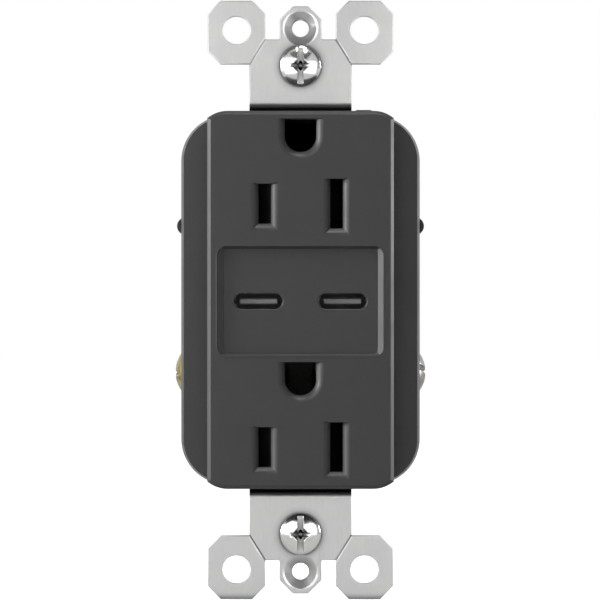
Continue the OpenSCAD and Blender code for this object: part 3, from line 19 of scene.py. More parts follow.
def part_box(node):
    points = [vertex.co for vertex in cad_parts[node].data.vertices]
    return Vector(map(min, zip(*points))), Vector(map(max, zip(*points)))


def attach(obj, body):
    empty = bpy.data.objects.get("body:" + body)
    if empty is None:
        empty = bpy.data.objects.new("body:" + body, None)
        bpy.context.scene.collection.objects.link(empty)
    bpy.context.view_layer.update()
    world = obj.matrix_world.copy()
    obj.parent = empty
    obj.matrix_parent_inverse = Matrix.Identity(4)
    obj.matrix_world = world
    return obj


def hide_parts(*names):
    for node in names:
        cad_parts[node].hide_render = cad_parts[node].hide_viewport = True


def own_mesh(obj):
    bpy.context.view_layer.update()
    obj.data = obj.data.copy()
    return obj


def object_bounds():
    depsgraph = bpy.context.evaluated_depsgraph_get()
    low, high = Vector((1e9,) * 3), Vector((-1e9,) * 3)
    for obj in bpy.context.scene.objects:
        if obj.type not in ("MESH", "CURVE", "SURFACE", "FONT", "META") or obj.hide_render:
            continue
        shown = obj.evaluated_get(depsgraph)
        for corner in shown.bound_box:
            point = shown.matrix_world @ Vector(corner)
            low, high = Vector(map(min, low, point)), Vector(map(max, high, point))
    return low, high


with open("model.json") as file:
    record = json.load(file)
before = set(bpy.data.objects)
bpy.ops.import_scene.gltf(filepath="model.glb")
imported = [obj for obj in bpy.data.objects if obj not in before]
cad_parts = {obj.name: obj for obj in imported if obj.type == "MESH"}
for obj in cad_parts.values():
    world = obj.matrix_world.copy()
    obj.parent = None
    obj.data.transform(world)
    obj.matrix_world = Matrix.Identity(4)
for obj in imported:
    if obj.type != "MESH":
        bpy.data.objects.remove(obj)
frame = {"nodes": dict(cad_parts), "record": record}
CAD_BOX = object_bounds()
LOG = logging.getLogger("outlet")
MM = 0.001
METAL_PIECES = "metal_pieces"
SHADED_PIECES = "shaded_pieces"
WELD = 1e-6
FLAT_WITHIN = math.radians(0.4)
SMOOTH_WITHIN = math.radians(40)
UP = Vector((0, 0, 1))
Key = Union[str, int]


def linear(colour: str) -> Tuple[float, float, float, float]:
    """Turns an sRGB hex value into linear red, green, blue and alpha.

    Args:
        colour: the value as it is written for a screen, such as "#464646".

    Returns:
        The four linear channels.
    """
    parts = [int(colour[i:i + 2], 16) / 255 for i in (1, 3, 5)]
    red, green, blue = (c / 12.92 if c <= 0.04045 else ((c + 0.055) / 1.055) ** 2.4 for c in parts)
    return red, green, blue, 1.0


def per_metre(size_mm: float) -> float:
    """Gives a texture's scale from the real size of its grain in millimetres."""
    return 1000 / size_mm


def socket(sockets: Sequence[bpy.types.NodeSocket], key: Key) -> bpy.types.NodeSocket:
    """Finds a node's socket by its place, or the first one in use by its name."""
    if isinstance(key, int):
        return sockets[key]
    return next(s for s in sockets if s.name == key and s.enabled)


def add_node(tree: bpy.types.NodeTree, kind: str, settings: Optional[Dict[Key, object]] = None,
             links: Optional[Dict[Key, bpy.types.NodeSocket]] = None) -> bpy.types.Node:
    """Adds one node with its settings and links.

    Args:
        tree: the node tree that gets the node.
        kind: Blender's name for the kind of node.
        settings: values by name: the node's own properties first, then its inputs.
        links: the output that feeds each named input.

    Returns:
        The new node.
    """
    node = tree.nodes.new(kind)
    inputs = {}
    for key, value in (settings or {}).items():
        if isinstance(key, str) and hasattr(node, key):
            setattr(node, key, value)
        else:
            inputs[key] = value
    for key, value in inputs.items():
        socket(node.inputs, key).default_value = value
    for key, source in (links or {}).items():
        tree.links.new(source, socket(node.inputs, key))
    return node


class Relief(Enum):
    """How a surface was made, which decides the shape of its fine relief."""

    SPARK_ERODED = "spark eroded mould"
    ROLLED = "rolled sheet"
    CAST = "pressed or sintered grains"
    DIPPED = "dipped or shrunk skin"
    PAPER = "laid fibres"


@dataclass(frozen=True)
class Finish:
    """A procedural finish: a colour that drifts in patches, uneven gloss, a fine relief and, where set,
    painted shade in crevices.
    """

    name: str
    colour: str
    shade: str
    roughness: float
    relief: Relief
    grain_mm: float
    depth_mm: float
    drift_mm: float = 7.0
    spread: float = 0.05
    metallic: float = 0.0
    specular: float = 0.5
    coat: float = 0.0
    # crevice and crevice_mm set painted shade: ambient occlusion within crevice_mm takes up to the share
    # crevice off the colour and the sheen in crevices and recesses
    crevice: float = 0.0
    crevice_mm: float = 1.2
    crevice_dull: float = 0.0
    coat_roughness: float = 0.12
    patches: Tuple[float, float] = (0.3, 0.7)
    blend: Tuple[float, float] = (0.35, 0.65)
    patch_share: float = 0.6
    closed_to_open: Tuple[float, float] = (0.5, 0.95)
    open_samples: int = 8

    def material(self) -> bpy.types.Material:
        """Gives the finish as a material, which is built when it is first asked for."""
        made = bpy.data.materials.get(self.name)
        if made is None:
            made = bpy.data.materials.new(self.name)
            made.use_nodes = True
            self.build(made.node_tree)
        return made

    def build(self, tree: bpy.types.NodeTree) -> None:
        """Fills the material's tree.

        Args:
            tree: the new material's own tree, with its first shader in it.
        """
        shader = tree.nodes["Principled BSDF"]
        shader.inputs["Metallic"].default_value = self.metallic
        shader.inputs["Coat Weight"].default_value = self.coat
        shader.inputs["Coat Roughness"].default_value = self.coat_roughness
        place = add_node(tree, "ShaderNodeTexCoord").outputs["Object"]
        drift = add_node(tree, "ShaderNodeTexNoise", {"Scale": per_metre(self.drift_mm), "Detail": 4.0},
                         {"Vector": place}).outputs["Fac"]
        grain = self.grain(tree, place)
        # painted shade: darker colour and weaker sheen in crevices, from ambient occlusion
        kept = self.painted_crevice_shade(tree)
        self.shine(tree, shader, self.paint(tree, drift, grain), kept)
        low, high = self.patches
        gloss = add_node(tree, "ShaderNodeMapRange", {
            "From Min": low, "From Max": high, "To Min": self.roughness - self.spread,
            "To Max": self.roughness + self.spread}, {"Value": drift}).outputs["Result"]
        if kept and self.crevice_dull:
            dull = add_node(tree, "ShaderNodeMapRange", {"To Min": self.crevice_dull, "To Max": 0.0},
                            {"Value": kept})
            gloss = add_node(tree, "ShaderNodeMath", {"operation": "ADD"},
                             {0: gloss, 1: dull.outputs["Result"]}).outputs[0]
        tree.links.new(gloss, shader.inputs["Roughness"])
        bump = add_node(tree, "ShaderNodeBump", {"Strength": 1.0, "Distance": self.depth_mm * MM},
                        {"Height": grain})
        tree.links.new(bump.outputs["Normal"], shader.inputs["Normal"])

    def grain(self, tree: bpy.types.NodeTree, place: bpy.types.NodeSocket) -> bpy.types.NodeSocket:
        """Draws the fine relief.

        Args:
            tree: the material's tree.
            place: the object coordinates.

        Returns:
            The height of the relief, from 0 to 1.
        """
        scale = per_metre(self.grain_mm)
        if self.relief is Relief.CAST:
            cells = add_node(tree, "ShaderNodeTexVoronoi", {"Scale": scale}, {"Vector": place})
            return cells.outputs["Distance"]
        stretch = {Relief.ROLLED: (1.0, 1.0, 0.2), Relief.PAPER: (0.12, 1.0, 0.3)}
        if self.relief in stretch:
            place = add_node(tree, "ShaderNodeMapping", {"Scale": stretch[self.relief]},
                             {"Vector": place}).outputs["Vector"]
        detail = 1.0 if self.relief is Relief.DIPPED else 3.0
        noise = add_node(tree, "ShaderNodeTexNoise", {"Scale": scale, "Detail": detail}, {"Vector": place})
        return noise.outputs["Fac"]

    def paint(self, tree: bpy.types.NodeTree, drift: bpy.types.NodeSocket,
              grain: bpy.types.NodeSocket) -> bpy.types.NodeSocket:
        """Mixes the colour and its shade by patches and grain.

        Args:
            tree: the material's tree.
            drift: the slow noise of the patches.
            grain: the height of the fine relief.

        Returns:
            The colour.
        """
        fine = add_node(tree, "ShaderNodeMath", {"operation": "MULTIPLY", 1: 1 - self.patch_share}, {0: grain})
        both = add_node(tree, "ShaderNodeMath", {"operation": "MULTIPLY_ADD", 1: self.patch_share},
                        {0: drift, 2: fine.outputs[0]})
        low, high = self.blend
        share = add_node(tree, "ShaderNodeMapRange", {"From Min": low, "From Max": high},
                         {"Value": both.outputs[0]})
        mix = add_node(tree, "ShaderNodeMix", {
            "data_type": "RGBA", "A": linear(self.colour), "B": linear(self.shade)},
            {"Factor": share.outputs["Result"]})
        return socket(mix.outputs, "Result")

    def painted_crevice_shade(self, tree: bpy.types.NodeTree) -> Optional[bpy.types.NodeSocket]:
        """Works out the painted shade in crevices: from ambient occlusion, the share of its colour and sheen
        that each place keeps.

        Args:
            tree: the material's tree.

        Returns:
            The share, 1 in the open and less in crevices, or nothing where the finish has none.
        """
        if not self.crevice:
            return None
        open_share = add_node(tree, "ShaderNodeAmbientOcclusion", {
            "samples": self.open_samples, "Distance": self.crevice_mm * MM}).outputs["AO"]
        closed, wide = self.closed_to_open
        return add_node(tree, "ShaderNodeMapRange", {
            "From Min": closed, "From Max": wide, "To Min": 1 - self.crevice},
            {"Value": open_share}).outputs["Result"]

    def shine(self, tree: bpy.types.NodeTree, shader: bpy.types.Node, colour: bpy.types.NodeSocket,
              kept: Optional[bpy.types.NodeSocket]) -> None:
        """Gives the shader its colour and its sheen, both darkened by painted shade in crevices where the
        finish has that.

        Args:
            tree: the material's tree.
            shader: its shader.
            colour: the colour in the open.
            kept: the share of its colour and sheen that each place keeps under the painted shade.
        """
        shader.inputs["Specular IOR Level"].default_value = self.specular
        if kept is None:
            tree.links.new(colour, shader.inputs["Base Color"])
            return
        shaded_colour = add_node(tree, "ShaderNodeVectorMath", {"operation": "SCALE"}, {0: colour, "Scale": kept})
        tree.links.new(shaded_colour.outputs["Vector"], shader.inputs["Base Color"])
        sheen = add_node(tree, "ShaderNodeMath", {"operation": "MULTIPLY", 1: self.specular}, {0: kept})
        tree.links.new(sheen.outputs[0], shader.inputs["Specular IOR Level"])


# Each finish by the record's slot for it
FINISHES: Dict[str, Finish] = {
    # Polycarbonate from a spark-eroded mould: satin charcoal, its bloom too fine to see, drawn coarser
    "face_plastic": Finish("satin_moulded_polycarbonate", "#323233", "#2d2d2e", 0.42, Relief.SPARK_ERODED,
                           0.45, 0.004, specular=0.28),
    # Glass-filled nylon: blacker and duller, with swirls where the glass comes near the skin, and painted
    # shade darkening its colour and sheen in recesses
    "housing_plastic": Finish("black_glass_filled_nylon", "#2a2a2b", "#313132", 0.5, Relief.SPARK_ERODED,
                              0.6, 0.01, drift_mm=5.0, specular=0.4, crevice=0.5, crevice_mm=1.5),
    # Zinc-plated rolled steel: even light grey with faint rolling lines along the strap, and painted shade
    # darkening its colour and sheen in grooves, bends and round the screw heads
    "strap_steel": Finish("zinc_plated_rolled_steel", "#bababa", "#b3b3b2", 0.34, Relief.ROLLED,
                          0.4, 0.0012, metallic=1.0, crevice=0.9, crevice_mm=1.5),
    # Zinc-plated cold-headed steel: brighter than the strap, tumbled smooth, with painted shade darkening its
    # slots and cross recesses, which are also rougher
    "screw_steel": Finish("zinc_plated_screw_steel", "#c6c6c4", "#bababa", 0.16, Relief.DIPPED,
                          0.8, 0.003, metallic=1.0, spread=0.04, crevice=0.68, crevice_mm=3.0,
                          crevice_dull=0.55),
    # Yellow brass, a little tarnished in patches
    "brass_screw": Finish("tumbled_yellow_brass", "#a59c6c", "#80734a", 0.3, Relief.DIPPED,
                          0.8, 0.004, drift_mm=3.0, metallic=1.0),
    # Nickel plate over brass: warm grey and glossy
    "nickel_screw": Finish("nickel_plated_brass", "#8b8985", "#77756f", 0.32, Relief.DIPPED,
                           0.8, 0.003, metallic=1.0),
    # Green-dyed zinc plate: a clear green that drifts to a deeper green in patches
    "green_screw": Finish("green_dyed_zinc_plate", "#4f9a5e", "#3a7a49", 0.3, Relief.DIPPED,
                          0.7, 0.004, drift_mm=3.0, metallic=1.0),
    # Plain zinc-plated clamp, barrel finished, so duller than the screws
    "clamp_steel": Finish("barrel_zinc_plate", "#b9bab8", "#a3a4a2", 0.36, Relief.CAST,
                          0.4, 0.004, metallic=1.0),
    # Rolled spring brass of the contacts, warm and slightly brown, with painted shade making it dark deep in
    # the holes and pockets
    "contact_brass": Finish("rolled_spring_brass", "#cbb072", "#b0925a", 0.28, Relief.ROLLED,
                            0.4, 0.003, drift_mm=4.0, metallic=1.0, crevice=0.985, crevice_mm=6.0),
    # Vulcanised fibre: matt brick red paper board
    "fibre": Finish("vulcanised_fibre", "#8c4c37", "#743c2b", 0.78, Relief.PAPER, 0.4, 0.02, specular=0.3),
    # Natural nylon of the carrier: milky and waxy, with painted shade making it dark down in its pockets
    "carrier_plastic": Finish("natural_moulded_nylon", "#dcd9cf", "#cfcabc", 0.45, Relief.SPARK_ERODED,
                              0.5, 0.006, crevice=0.985, crevice_mm=6.0),
    # Acetal: deep black with a greasy sheen
    "shutter_plastic": Finish("black_moulded_acetal", "#141415", "#19191a", 0.35, Relief.SPARK_ERODED,
                              0.5, 0.004),
    # Drawn music wire, bright with lengthwise lines
    "spring_steel": Finish("drawn_spring_wire", "#b7b9bb", "#9da0a3", 0.25, Relief.ROLLED,
                           0.2, 0.002, metallic=1.0),
    # Nickel-plated stainless of the port shells, with painted shade making it dark inside the mouths
    "usb_steel": Finish("plated_port_steel", "#a9aaab", "#97989a", 0.3, Relief.ROLLED, 0.3, 0.002,
                        metallic=1.0, crevice=0.985, crevice_mm=2.5),
    # Liquid crystal polymer: dull mid grey with faint flow marks
    "tongue_plastic": Finish("moulded_port_polymer", "#8c8c8c", "#808080", 0.55, Relief.SPARK_ERODED,
                             0.3, 0.004),
    # Gold flash on the contacts
    "gold": Finish("gold_flash", "#d8b45a", "#c59f46", 0.22, Relief.DIPPED, 0.5, 0.002, metallic=1.0),
    # Solder mask over glass cloth: glossy green with the weave just showing
    "board": Finish("green_solder_mask", "#2c6b43", "#245a38", 0.3, Relief.CAST, 0.6, 0.004, coat=0.4),
    # Epoxy moulding compound of chips: dull black with fine silica
    "chip_plastic": Finish("epoxy_moulding_compound", "#1d1d1e", "#262627", 0.6, Relief.CAST, 0.3, 0.005),
    # Sintered ferrite: slate grey, grainy
    "ferrite": Finish("sintered_ferrite", "#3c3d40", "#333437", 0.5, Relief.CAST, 0.3, 0.008),
    # Polyester tape over the winding: glossy yellow, wrinkled
    "winding_tape": Finish("polyester_winding_tape", "#d9a928", "#c4941c", 0.25, Relief.DIPPED,
                           1.6, 0.03, coat=0.3),
    # Enamelled copper wire: deep orange under a clear skin
    "copper": Finish("enamelled_copper_wire", "#b8662f", "#9c5020", 0.3, Relief.DIPPED, 0.5, 0.002,
                     metallic=1.0, coat=0.5),
    # Shrunk plastic sleeve of the larger capacitors
    "capacitor_sleeve": Finish("shrunk_capacitor_sleeve", "#202326", "#191c1f", 0.3, Relief.DIPPED,
                               2.0, 0.02, coat=0.2),
    # Deep-drawn aluminium of the smaller capacitors
    "capacitor_can": Finish("drawn_aluminium_can", "#cfd0d1", "#bfc0c2", 0.3, Relief.ROLLED, 0.4, 0.003,
                            metallic=1.0),
    # Flame-proof box of the film capacitor
    "film_box": Finish("moulded_film_capacitor_box", "#c9a63a", "#b8952e", 0.4, Relief.SPARK_ERODED,
                       0.5, 0.006),
    # Dipped lacquer of the disc capacitor: lumpy and glossy
    "disc_lacquer": Finish("dipped_blue_lacquer", "#2f5f9e", "#27518a", 0.3, Relief.DIPPED, 1.2, 0.06,
                           coat=0.5),
}

NODE_SLOTS: Dict[str, str] = {s["node"]: s["material_slot"] for s in frame["record"]["subparts"]}
NODE_BODY: Dict[str, str] = {
    node: body for body, nodes in frame["record"]["behaviour"]["bodies"].items() for node in nodes}


def merged_copy(node: str) -> bmesh.types.BMesh:
    """Copies a solid's mesh, joins its loose triangles and clears the seams in its flat faces.

    Args:
        node: the solid's name in the frame.

    Returns:
        A new editable mesh.
    """
    mesh = bmesh.new()
    mesh.from_mesh(frame["nodes"][node].data)
    bmesh.ops.remove_doubles(mesh, verts=mesh.verts, dist=WELD)
    bmesh.ops.dissolve_limit(mesh, angle_limit=FLAT_WITHIN, verts=mesh.verts, edges=mesh.edges)
    return mesh


def sharp_edges(mesh: bmesh.types.BMesh, wanted: Callable[[Vector], bool] = lambda middle: True,
                least: float = 30.0, most: float = 180.0) -> List[bmesh.types.BMEdge]:
    """Finds the sharp edges of a mesh.

    Args:
        mesh: the mesh to search.
        wanted: says by an edge's middle whether that edge counts.
        least: the bluntest edge that counts, in degrees between its faces.
        most: the sharpest edge that counts.

    Returns:
        The edges.
    """
    return [e for e in mesh.edges if len(e.link_faces) == 2
            and math.radians(least) < e.calc_face_angle(0) < math.radians(most)
            and wanted((e.verts[0].co + e.verts[1].co) / 2)]


def round_edges(mesh: bmesh.types.BMesh, edges: Sequence[bmesh.types.BMEdge], width: float,
                segments: int = 2) -> None:
    """Rounds edges of a mesh.

    Args:
        mesh: the mesh to change.
        edges: the edges to round.
        width: how far the rounding reaches from each edge, in metres.
        segments: how many facets the rounding gets.
    """
    bmesh.ops.bevel(mesh, geom=list(edges), offset=width, offset_type="OFFSET", segments=segments, profile=0.5,
                    affect="EDGES", clamp_overlap=False)


def cut_off(mesh: bmesh.types.BMesh, point: Vector, outward: Vector) -> None:
    """Cuts a mesh at a plane, drops what lies beyond it and closes the cut.

    Args:
        mesh: the mesh to change.
        point: a point of the plane.
        outward: the side that is dropped.
    """
    everything = list(mesh.verts) + list(mesh.edges) + list(mesh.faces)
    bmesh.ops.bisect_plane(mesh, geom=everything, plane_co=point, plane_no=outward, clear_outer=True)
    bmesh.ops.holes_fill(mesh, edges=[e for e in mesh.edges if e.is_boundary])


def plain_mesh(obj: bpy.types.Object) -> bpy.types.Mesh:
    """Gives an object's mesh with its modifiers worked in."""
    return bpy.data.meshes.new_from_object(obj.evaluated_get(bpy.context.evaluated_depsgraph_get()))


def carve(mesh: bmesh.types.BMesh, tool: bmesh.types.BMesh) -> None:
    """Cuts one closed mesh out of another.

    Args:
        mesh: the mesh to change.
        tool: the shape to cut out, which is used up.
    """
    both = []
    for source in (mesh, tool):
        data = bpy.data.meshes.new("carving")
        source.to_mesh(data)
        both.append(bpy.data.objects.new("carving", data))
        bpy.context.scene.collection.objects.link(both[-1])
    tool.free()
    cut = both[0].modifiers.new("cut", "BOOLEAN")
    cut.operation, cut.solver, cut.object = "DIFFERENCE", "EXACT", both[1]
    carved = plain_mesh(both[0])
    mesh.clear()
    mesh.from_mesh(carved)
    for obj in both:
        bpy.data.objects.remove(obj)


def add_piece(name: str, mesh: bmesh.types.BMesh, nodes: Sequence[str], slot: str = "") -> bpy.types.Object:
    """Puts a finished mesh into the scene for the solids that it stands for.

    Args:
        name: the piece's name.
        mesh: its mesh, which is used up.
        nodes: the solids that it replaces, all of one body and one finish.
        slot: the record's slot for its finish, where that isn't the first solid's own.

    Returns:
        The new object, shaded, dressed and riding on its body.
    """
    for edge in mesh.edges:
        edge.smooth = len(edge.link_faces) == 2 and edge.calc_face_angle(0) < SMOOTH_WITHIN
    data = bpy.data.meshes.new(name)
    mesh.to_mesh(data)
    mesh.free()
    data.shade_smooth()
    obj = bpy.data.objects.new(name, data)
    bpy.context.scene.collection.objects.link(obj)
    weighting = obj.modifiers.new("weighting", "WEIGHTED_NORMAL")
    weighting.keep_sharp = True
    baked = plain_mesh(obj)
    obj.modifiers.clear()
    obj.data = baked
    slot = slot or NODE_SLOTS[nodes[0]]
    dress(obj, slot)
    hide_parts(*nodes)
    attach(obj, NODE_BODY[nodes[0]])
    LOG.info("%s: %d faces, %s", name, len(baked.polygons), FINISHES[slot].name)
    return obj


def dress(obj: bpy.types.Object, slot: str) -> None:
    """Gives an object one finish all over and lists it for the cards if it is metal."""
    obj.data.materials.clear()
    obj.data.materials.append(FINISHES[slot].material())
    if FINISHES[slot].metallic:
        pieces(METAL_PIECES).objects.link(obj)


def pieces(name: str) -> bpy.types.Collection:
    """Gives a list of pieces that a lamp or a card treats apart, made when it is first asked for."""
    return bpy.data.collections.get(name) or bpy.data.collections.new(name)


def keep_lamps_off(obj: bpy.types.Object) -> None:
    """Keeps the lamps' direct light off a piece."""
    shaded = pieces(SHADED_PIECES)
    shaded.objects.link(obj)
    shaded.collection_objects[-1].light_linking.link_state = "EXCLUDE"


class SizedTree:
    """A Geometry Nodes tree with named sizes that gives a plain mesh."""

    def __init__(self, name: str, sizes: Dict[str, float]) -> None:
        """Starts the tree.

        Args:
            name: the tree's name.
            sizes: its inputs and their values, lengths in metres.
        """
        self.name = name
        self.sizes = sizes
        self.tree = bpy.data.node_groups.new(name, "GeometryNodeTree")
        self.tree.interface.new_socket("Geometry", in_out="OUTPUT", socket_type="NodeSocketGeometry")
        self.identifiers = {
            key: self.tree.interface.new_socket(key, in_out="INPUT", socket_type="NodeSocketFloat").identifier
            for key in sizes}
        self.source = add_node(self.tree, "NodeGroupInput")

    def size(self, key: str) -> bpy.types.NodeSocket:
        """Gives a named size as an output to link from."""
        return self.source.outputs[key]

    def add(self, kind: str, settings: Optional[Dict[Key, object]] = None,
            links: Optional[Dict[Key, bpy.types.NodeSocket]] = None) -> bpy.types.Node:
        """Adds a node to this tree."""
        return add_node(self.tree, kind, settings, links)

    def maths(self, operation: str, *terms: Union[float, bpy.types.NodeSocket]) -> bpy.types.NodeSocket:
        """Works out one operation on numbers and outputs.

        Args:
            operation: Blender's name for it.
            terms: its terms in order, each a number or an output.

        Returns:
            The result's output.
        """
        numbers = {i: t for i, t in enumerate(terms) if isinstance(t, (int, float))}
        links = {i: t for i, t in enumerate(terms) if i not in numbers}
        return self.add("ShaderNodeMath", {"operation": operation, **numbers}, links).outputs[0]

    def mesh(self, geometry: bpy.types.NodeSocket, finish: Finish) -> bpy.types.Mesh:
        """Closes the tree and works it out.

        Args:
            geometry: the output that holds the made shape.
            finish: the finish that the shape gets.

        Returns:
            The shape as a plain mesh.
        """
        real = self.add("GeometryNodeRealizeInstances", {}, {"Geometry": geometry})
        dressed = self.add("GeometryNodeSetMaterial", {"Material": finish.material()},
                           {"Geometry": real.outputs["Geometry"]})
        self.add("NodeGroupOutput", {}, {"Geometry": dressed.outputs["Geometry"]})
        maker = bpy.data.objects.new(self.name, bpy.data.meshes.new(self.name))
        bpy.context.scene.collection.objects.link(maker)
        modifier = maker.modifiers.new(self.name, "NODES")
        modifier.node_group = self.tree
        for key, value in self.sizes.items():
            modifier[self.identifiers[key]] = float(value)
        made = plain_mesh(maker)
        bpy.data.objects.remove(maker)
        return made


@dataclass
class ScrewThread:
    """A rolled thread with a tapered tip, made along +Z from the origin."""

    major_r: float
    length: float
    tip: float
    pitch: float = 0.79375 * MM
    depth_share: float = 0.61
    flank: float = 0.86
    run_out: float = 1.4
    tip_share: float = 0.6
    sides: int = 40

    def mesh(self, finish: Finish) -> bpy.types.Mesh:
        """Builds the core and the ridge that winds round it.

        Args:
            finish: the screw's finish.

        Returns:
            The thread as a plain mesh.
        """
        depth = self.depth_share * self.pitch
        made = SizedTree("screw_thread", {
            "Root": self.major_r - depth, "Length": self.length, "Tip": self.tip, "Pitch": self.pitch,
            "Depth": depth})
        turns = made.maths("DIVIDE", made.size("Length"), made.size("Pitch"))
        spiral = made.add("GeometryNodeCurveSpiral", {"Resolution": self.sides}, {
            "Rotations": turns, "Start Radius": made.size("Root"), "End Radius": made.size("Root"),
            "Height": made.size("Length")})
        upright = made.add("GeometryNodeSetCurveNormal", {"mode": "Z_UP"}, {"Curve": spiral.outputs["Curve"]})
        along = made.add("GeometryNodeSplineParameter").outputs["Factor"]
        ends = made.maths("MINIMUM", along, made.maths("SUBTRACT", 1.0, along))
        fade = made.maths("MULTIPLY", made.maths("MULTIPLY", ends, turns), self.run_out)
        faded = made.add("GeometryNodeSetCurveRadius", {}, {
            "Curve": upright.outputs["Curve"], "Radius": made.maths("MINIMUM", fade, 1.0)})
        ridge = made.add("GeometryNodeCurvePrimitiveCircle", {"mode": "RADIUS", "Resolution": 3},
                         {"Radius": made.size("Depth")})
        turned = made.add("GeometryNodeTransform", {
            "Rotation": (0, 0, math.pi / 2), "Scale": (self.flank, 1, 1)},
            {"Geometry": ridge.outputs["Curve"]})
        swept = made.add("GeometryNodeCurveToMesh", {"Fill Caps": True},
                         {"Curve": faded.outputs["Curve"], "Profile Curve": turned.outputs["Geometry"]})
        core = made.add("GeometryNodeMeshCylinder", {"Vertices": self.sides},
                        {"Radius": made.size("Root"), "Depth": made.size("Length")})
        raised = made.add("ShaderNodeCombineXYZ", {}, {"Z": made.maths("DIVIDE", made.size("Length"), 2.0)})
        core = made.add("GeometryNodeTransform", {}, {"Geometry": core.outputs["Mesh"],
                                                      "Translation": raised.outputs["Vector"]})
        tip = made.add("GeometryNodeMeshCone", {"Vertices": self.sides}, {
            "Radius Top": made.maths("MULTIPLY", made.size("Root"), self.tip_share),
            "Radius Bottom": made.size("Root"), "Depth": made.size("Tip")})
        high = made.add("ShaderNodeCombineXYZ", {}, {"Z": made.size("Length")})
        tip = made.add("GeometryNodeTransform", {}, {"Geometry": tip.outputs["Mesh"],
                                                     "Translation": high.outputs["Vector"]})
        join = made.add("GeometryNodeJoinGeometry")
        for part in (swept.outputs["Mesh"], core.outputs["Geometry"], tip.outputs["Geometry"]):
            made.tree.links.new(part, join.inputs[0])
        return made.mesh(join.outputs[0], finish)


@dataclass
class Cover:
    """The moulded cover and the insert with the two USB mouths."""

    edge: float = 0.09 * MM
    inside: float = -4.2 * MM
    sides: float = 16.2 * MM
    mouth_facets: int = 4
    mouth_edge: float = 0.5 * MM
    mouth_depth: float = 0.25 * MM
    mouths_x: float = 12 * MM
    mouths_z: Tuple[float, float] = (10.5 * MM, 32 * MM)
    lead_in_most: float = 70.0
    port_edge: float = 0.2 * MM
    port_depth: float = 0.05 * MM
    ports_x: float = 12.4 * MM
    ports_z: float = 3 * MM

    def at_port(self, middle: Vector) -> bool:
        """Says whether a place lies on the front edge of a USB mouth."""
        return (middle.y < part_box("usb_insert")[0].y + self.port_depth and abs(middle.x) < self.ports_x
                and abs(middle.z) < self.ports_z)

    def at_mouth(self, middle: Vector) -> bool:
        """Says whether a place lies on the front edge of a slot or a ground hole."""
        near, far = self.mouths_z
        return (middle.y < CAD_BOX[0].y + self.mouth_depth and abs(middle.x) < self.mouths_x
                and near < abs(middle.z) < far)

    def square_ends(self, mesh: bmesh.types.BMesh) -> None:
        """Splits the front level with the lead-ins' upper ends, so that their rounding ends square.

        Args:
            mesh: the cover's or the insert's mesh.
        """
        lips = set(sharp_edges(mesh, self.at_mouth, most=self.lead_in_most))
        corners = {v for e in lips for v in e.verts}
        levels = {round(v.co.z, 6) for v in corners if len(lips.intersection(v.link_edges)) == 1}
        for level in levels:
            everything = list(mesh.verts) + list(mesh.edges) + list(mesh.faces)
            bmesh.ops.bisect_plane(mesh, geom=everything, dist=2 * WELD, plane_co=UP * level, plane_no=UP)

    def build(self) -> None:
        """Rounds the edges that show, those of slots and ports most, and dresses both pieces."""
        for node in ("face_cover", "usb_insert"):
            mesh = merged_copy(node)
            self.square_ends(mesh)
            lips = sharp_edges(mesh, self.at_mouth, most=self.lead_in_most)
            round_edges(mesh, lips, self.mouth_edge, self.mouth_facets)
            if node == "usb_insert":
                round_edges(mesh, sharp_edges(mesh, self.at_port), self.port_edge, self.mouth_facets)
            shown = sharp_edges(mesh, lambda middle: middle.y < self.inside or abs(middle.x) > self.sides)
            round_edges(mesh, shown, self.edge)
            add_piece(node + "_moulding", mesh, [node])


@dataclass
class Housing:
    """The black rear housing."""

    edge: float = 0.15 * MM
    back: float = 29.3 * MM
    sides: float = 16.5 * MM
    ends: float = 30.5 * MM

    def build(self) -> None:
        """Rounds the outer corners and dresses the housing."""
        mesh = merged_copy("rear_housing")
        outer = sharp_edges(mesh, lambda middle: middle.y > self.back or abs(middle.x) > self.sides
                            or abs(middle.z) > self.ends)
        round_edges(mesh, [e for e in outer if e.is_convex], self.edge)
        add_piece("rear_housing_moulding", mesh, ["rear_housing"])


@dataclass
class Strap:
    """The formed mounting strap and the washers that hold its screws."""

    edge: float = 0.16 * MM
    sheared: float = 60.0
    mouth_edge: float = 0.26 * MM
    mouth_facets: int = 4
    mouth_z: float = 48.4 * MM
    mouth_reach: float = 4 * MM
    washer_edge: float = 0.06 * MM

    def at_mouth(self, middle: Vector) -> bool:
        """Says whether a place lies at the flared mouth of a plate screw's hole."""
        return abs(middle.x) < self.mouth_reach and abs(abs(middle.z) - self.mouth_z) < self.mouth_reach

    def build(self) -> None:
        """Rounds the sheared edges, dresses the strap and the washers, and keeps glare off the grooves."""
        mesh = merged_copy("mounting_strap")
        flares = sharp_edges(mesh, self.at_mouth, most=self.sheared)
        round_edges(mesh, flares, self.mouth_edge, self.mouth_facets)
        round_edges(mesh, sharp_edges(mesh, least=self.sheared), self.edge)
        keep_lamps_off(add_piece("formed_strap", mesh, ["mounting_strap"]))
        mesh = merged_copy("screw_washers")
        round_edges(mesh, sharp_edges(mesh), self.washer_edge, segments=1)
        add_piece("fibre_washers", mesh, ["screw_washers"])


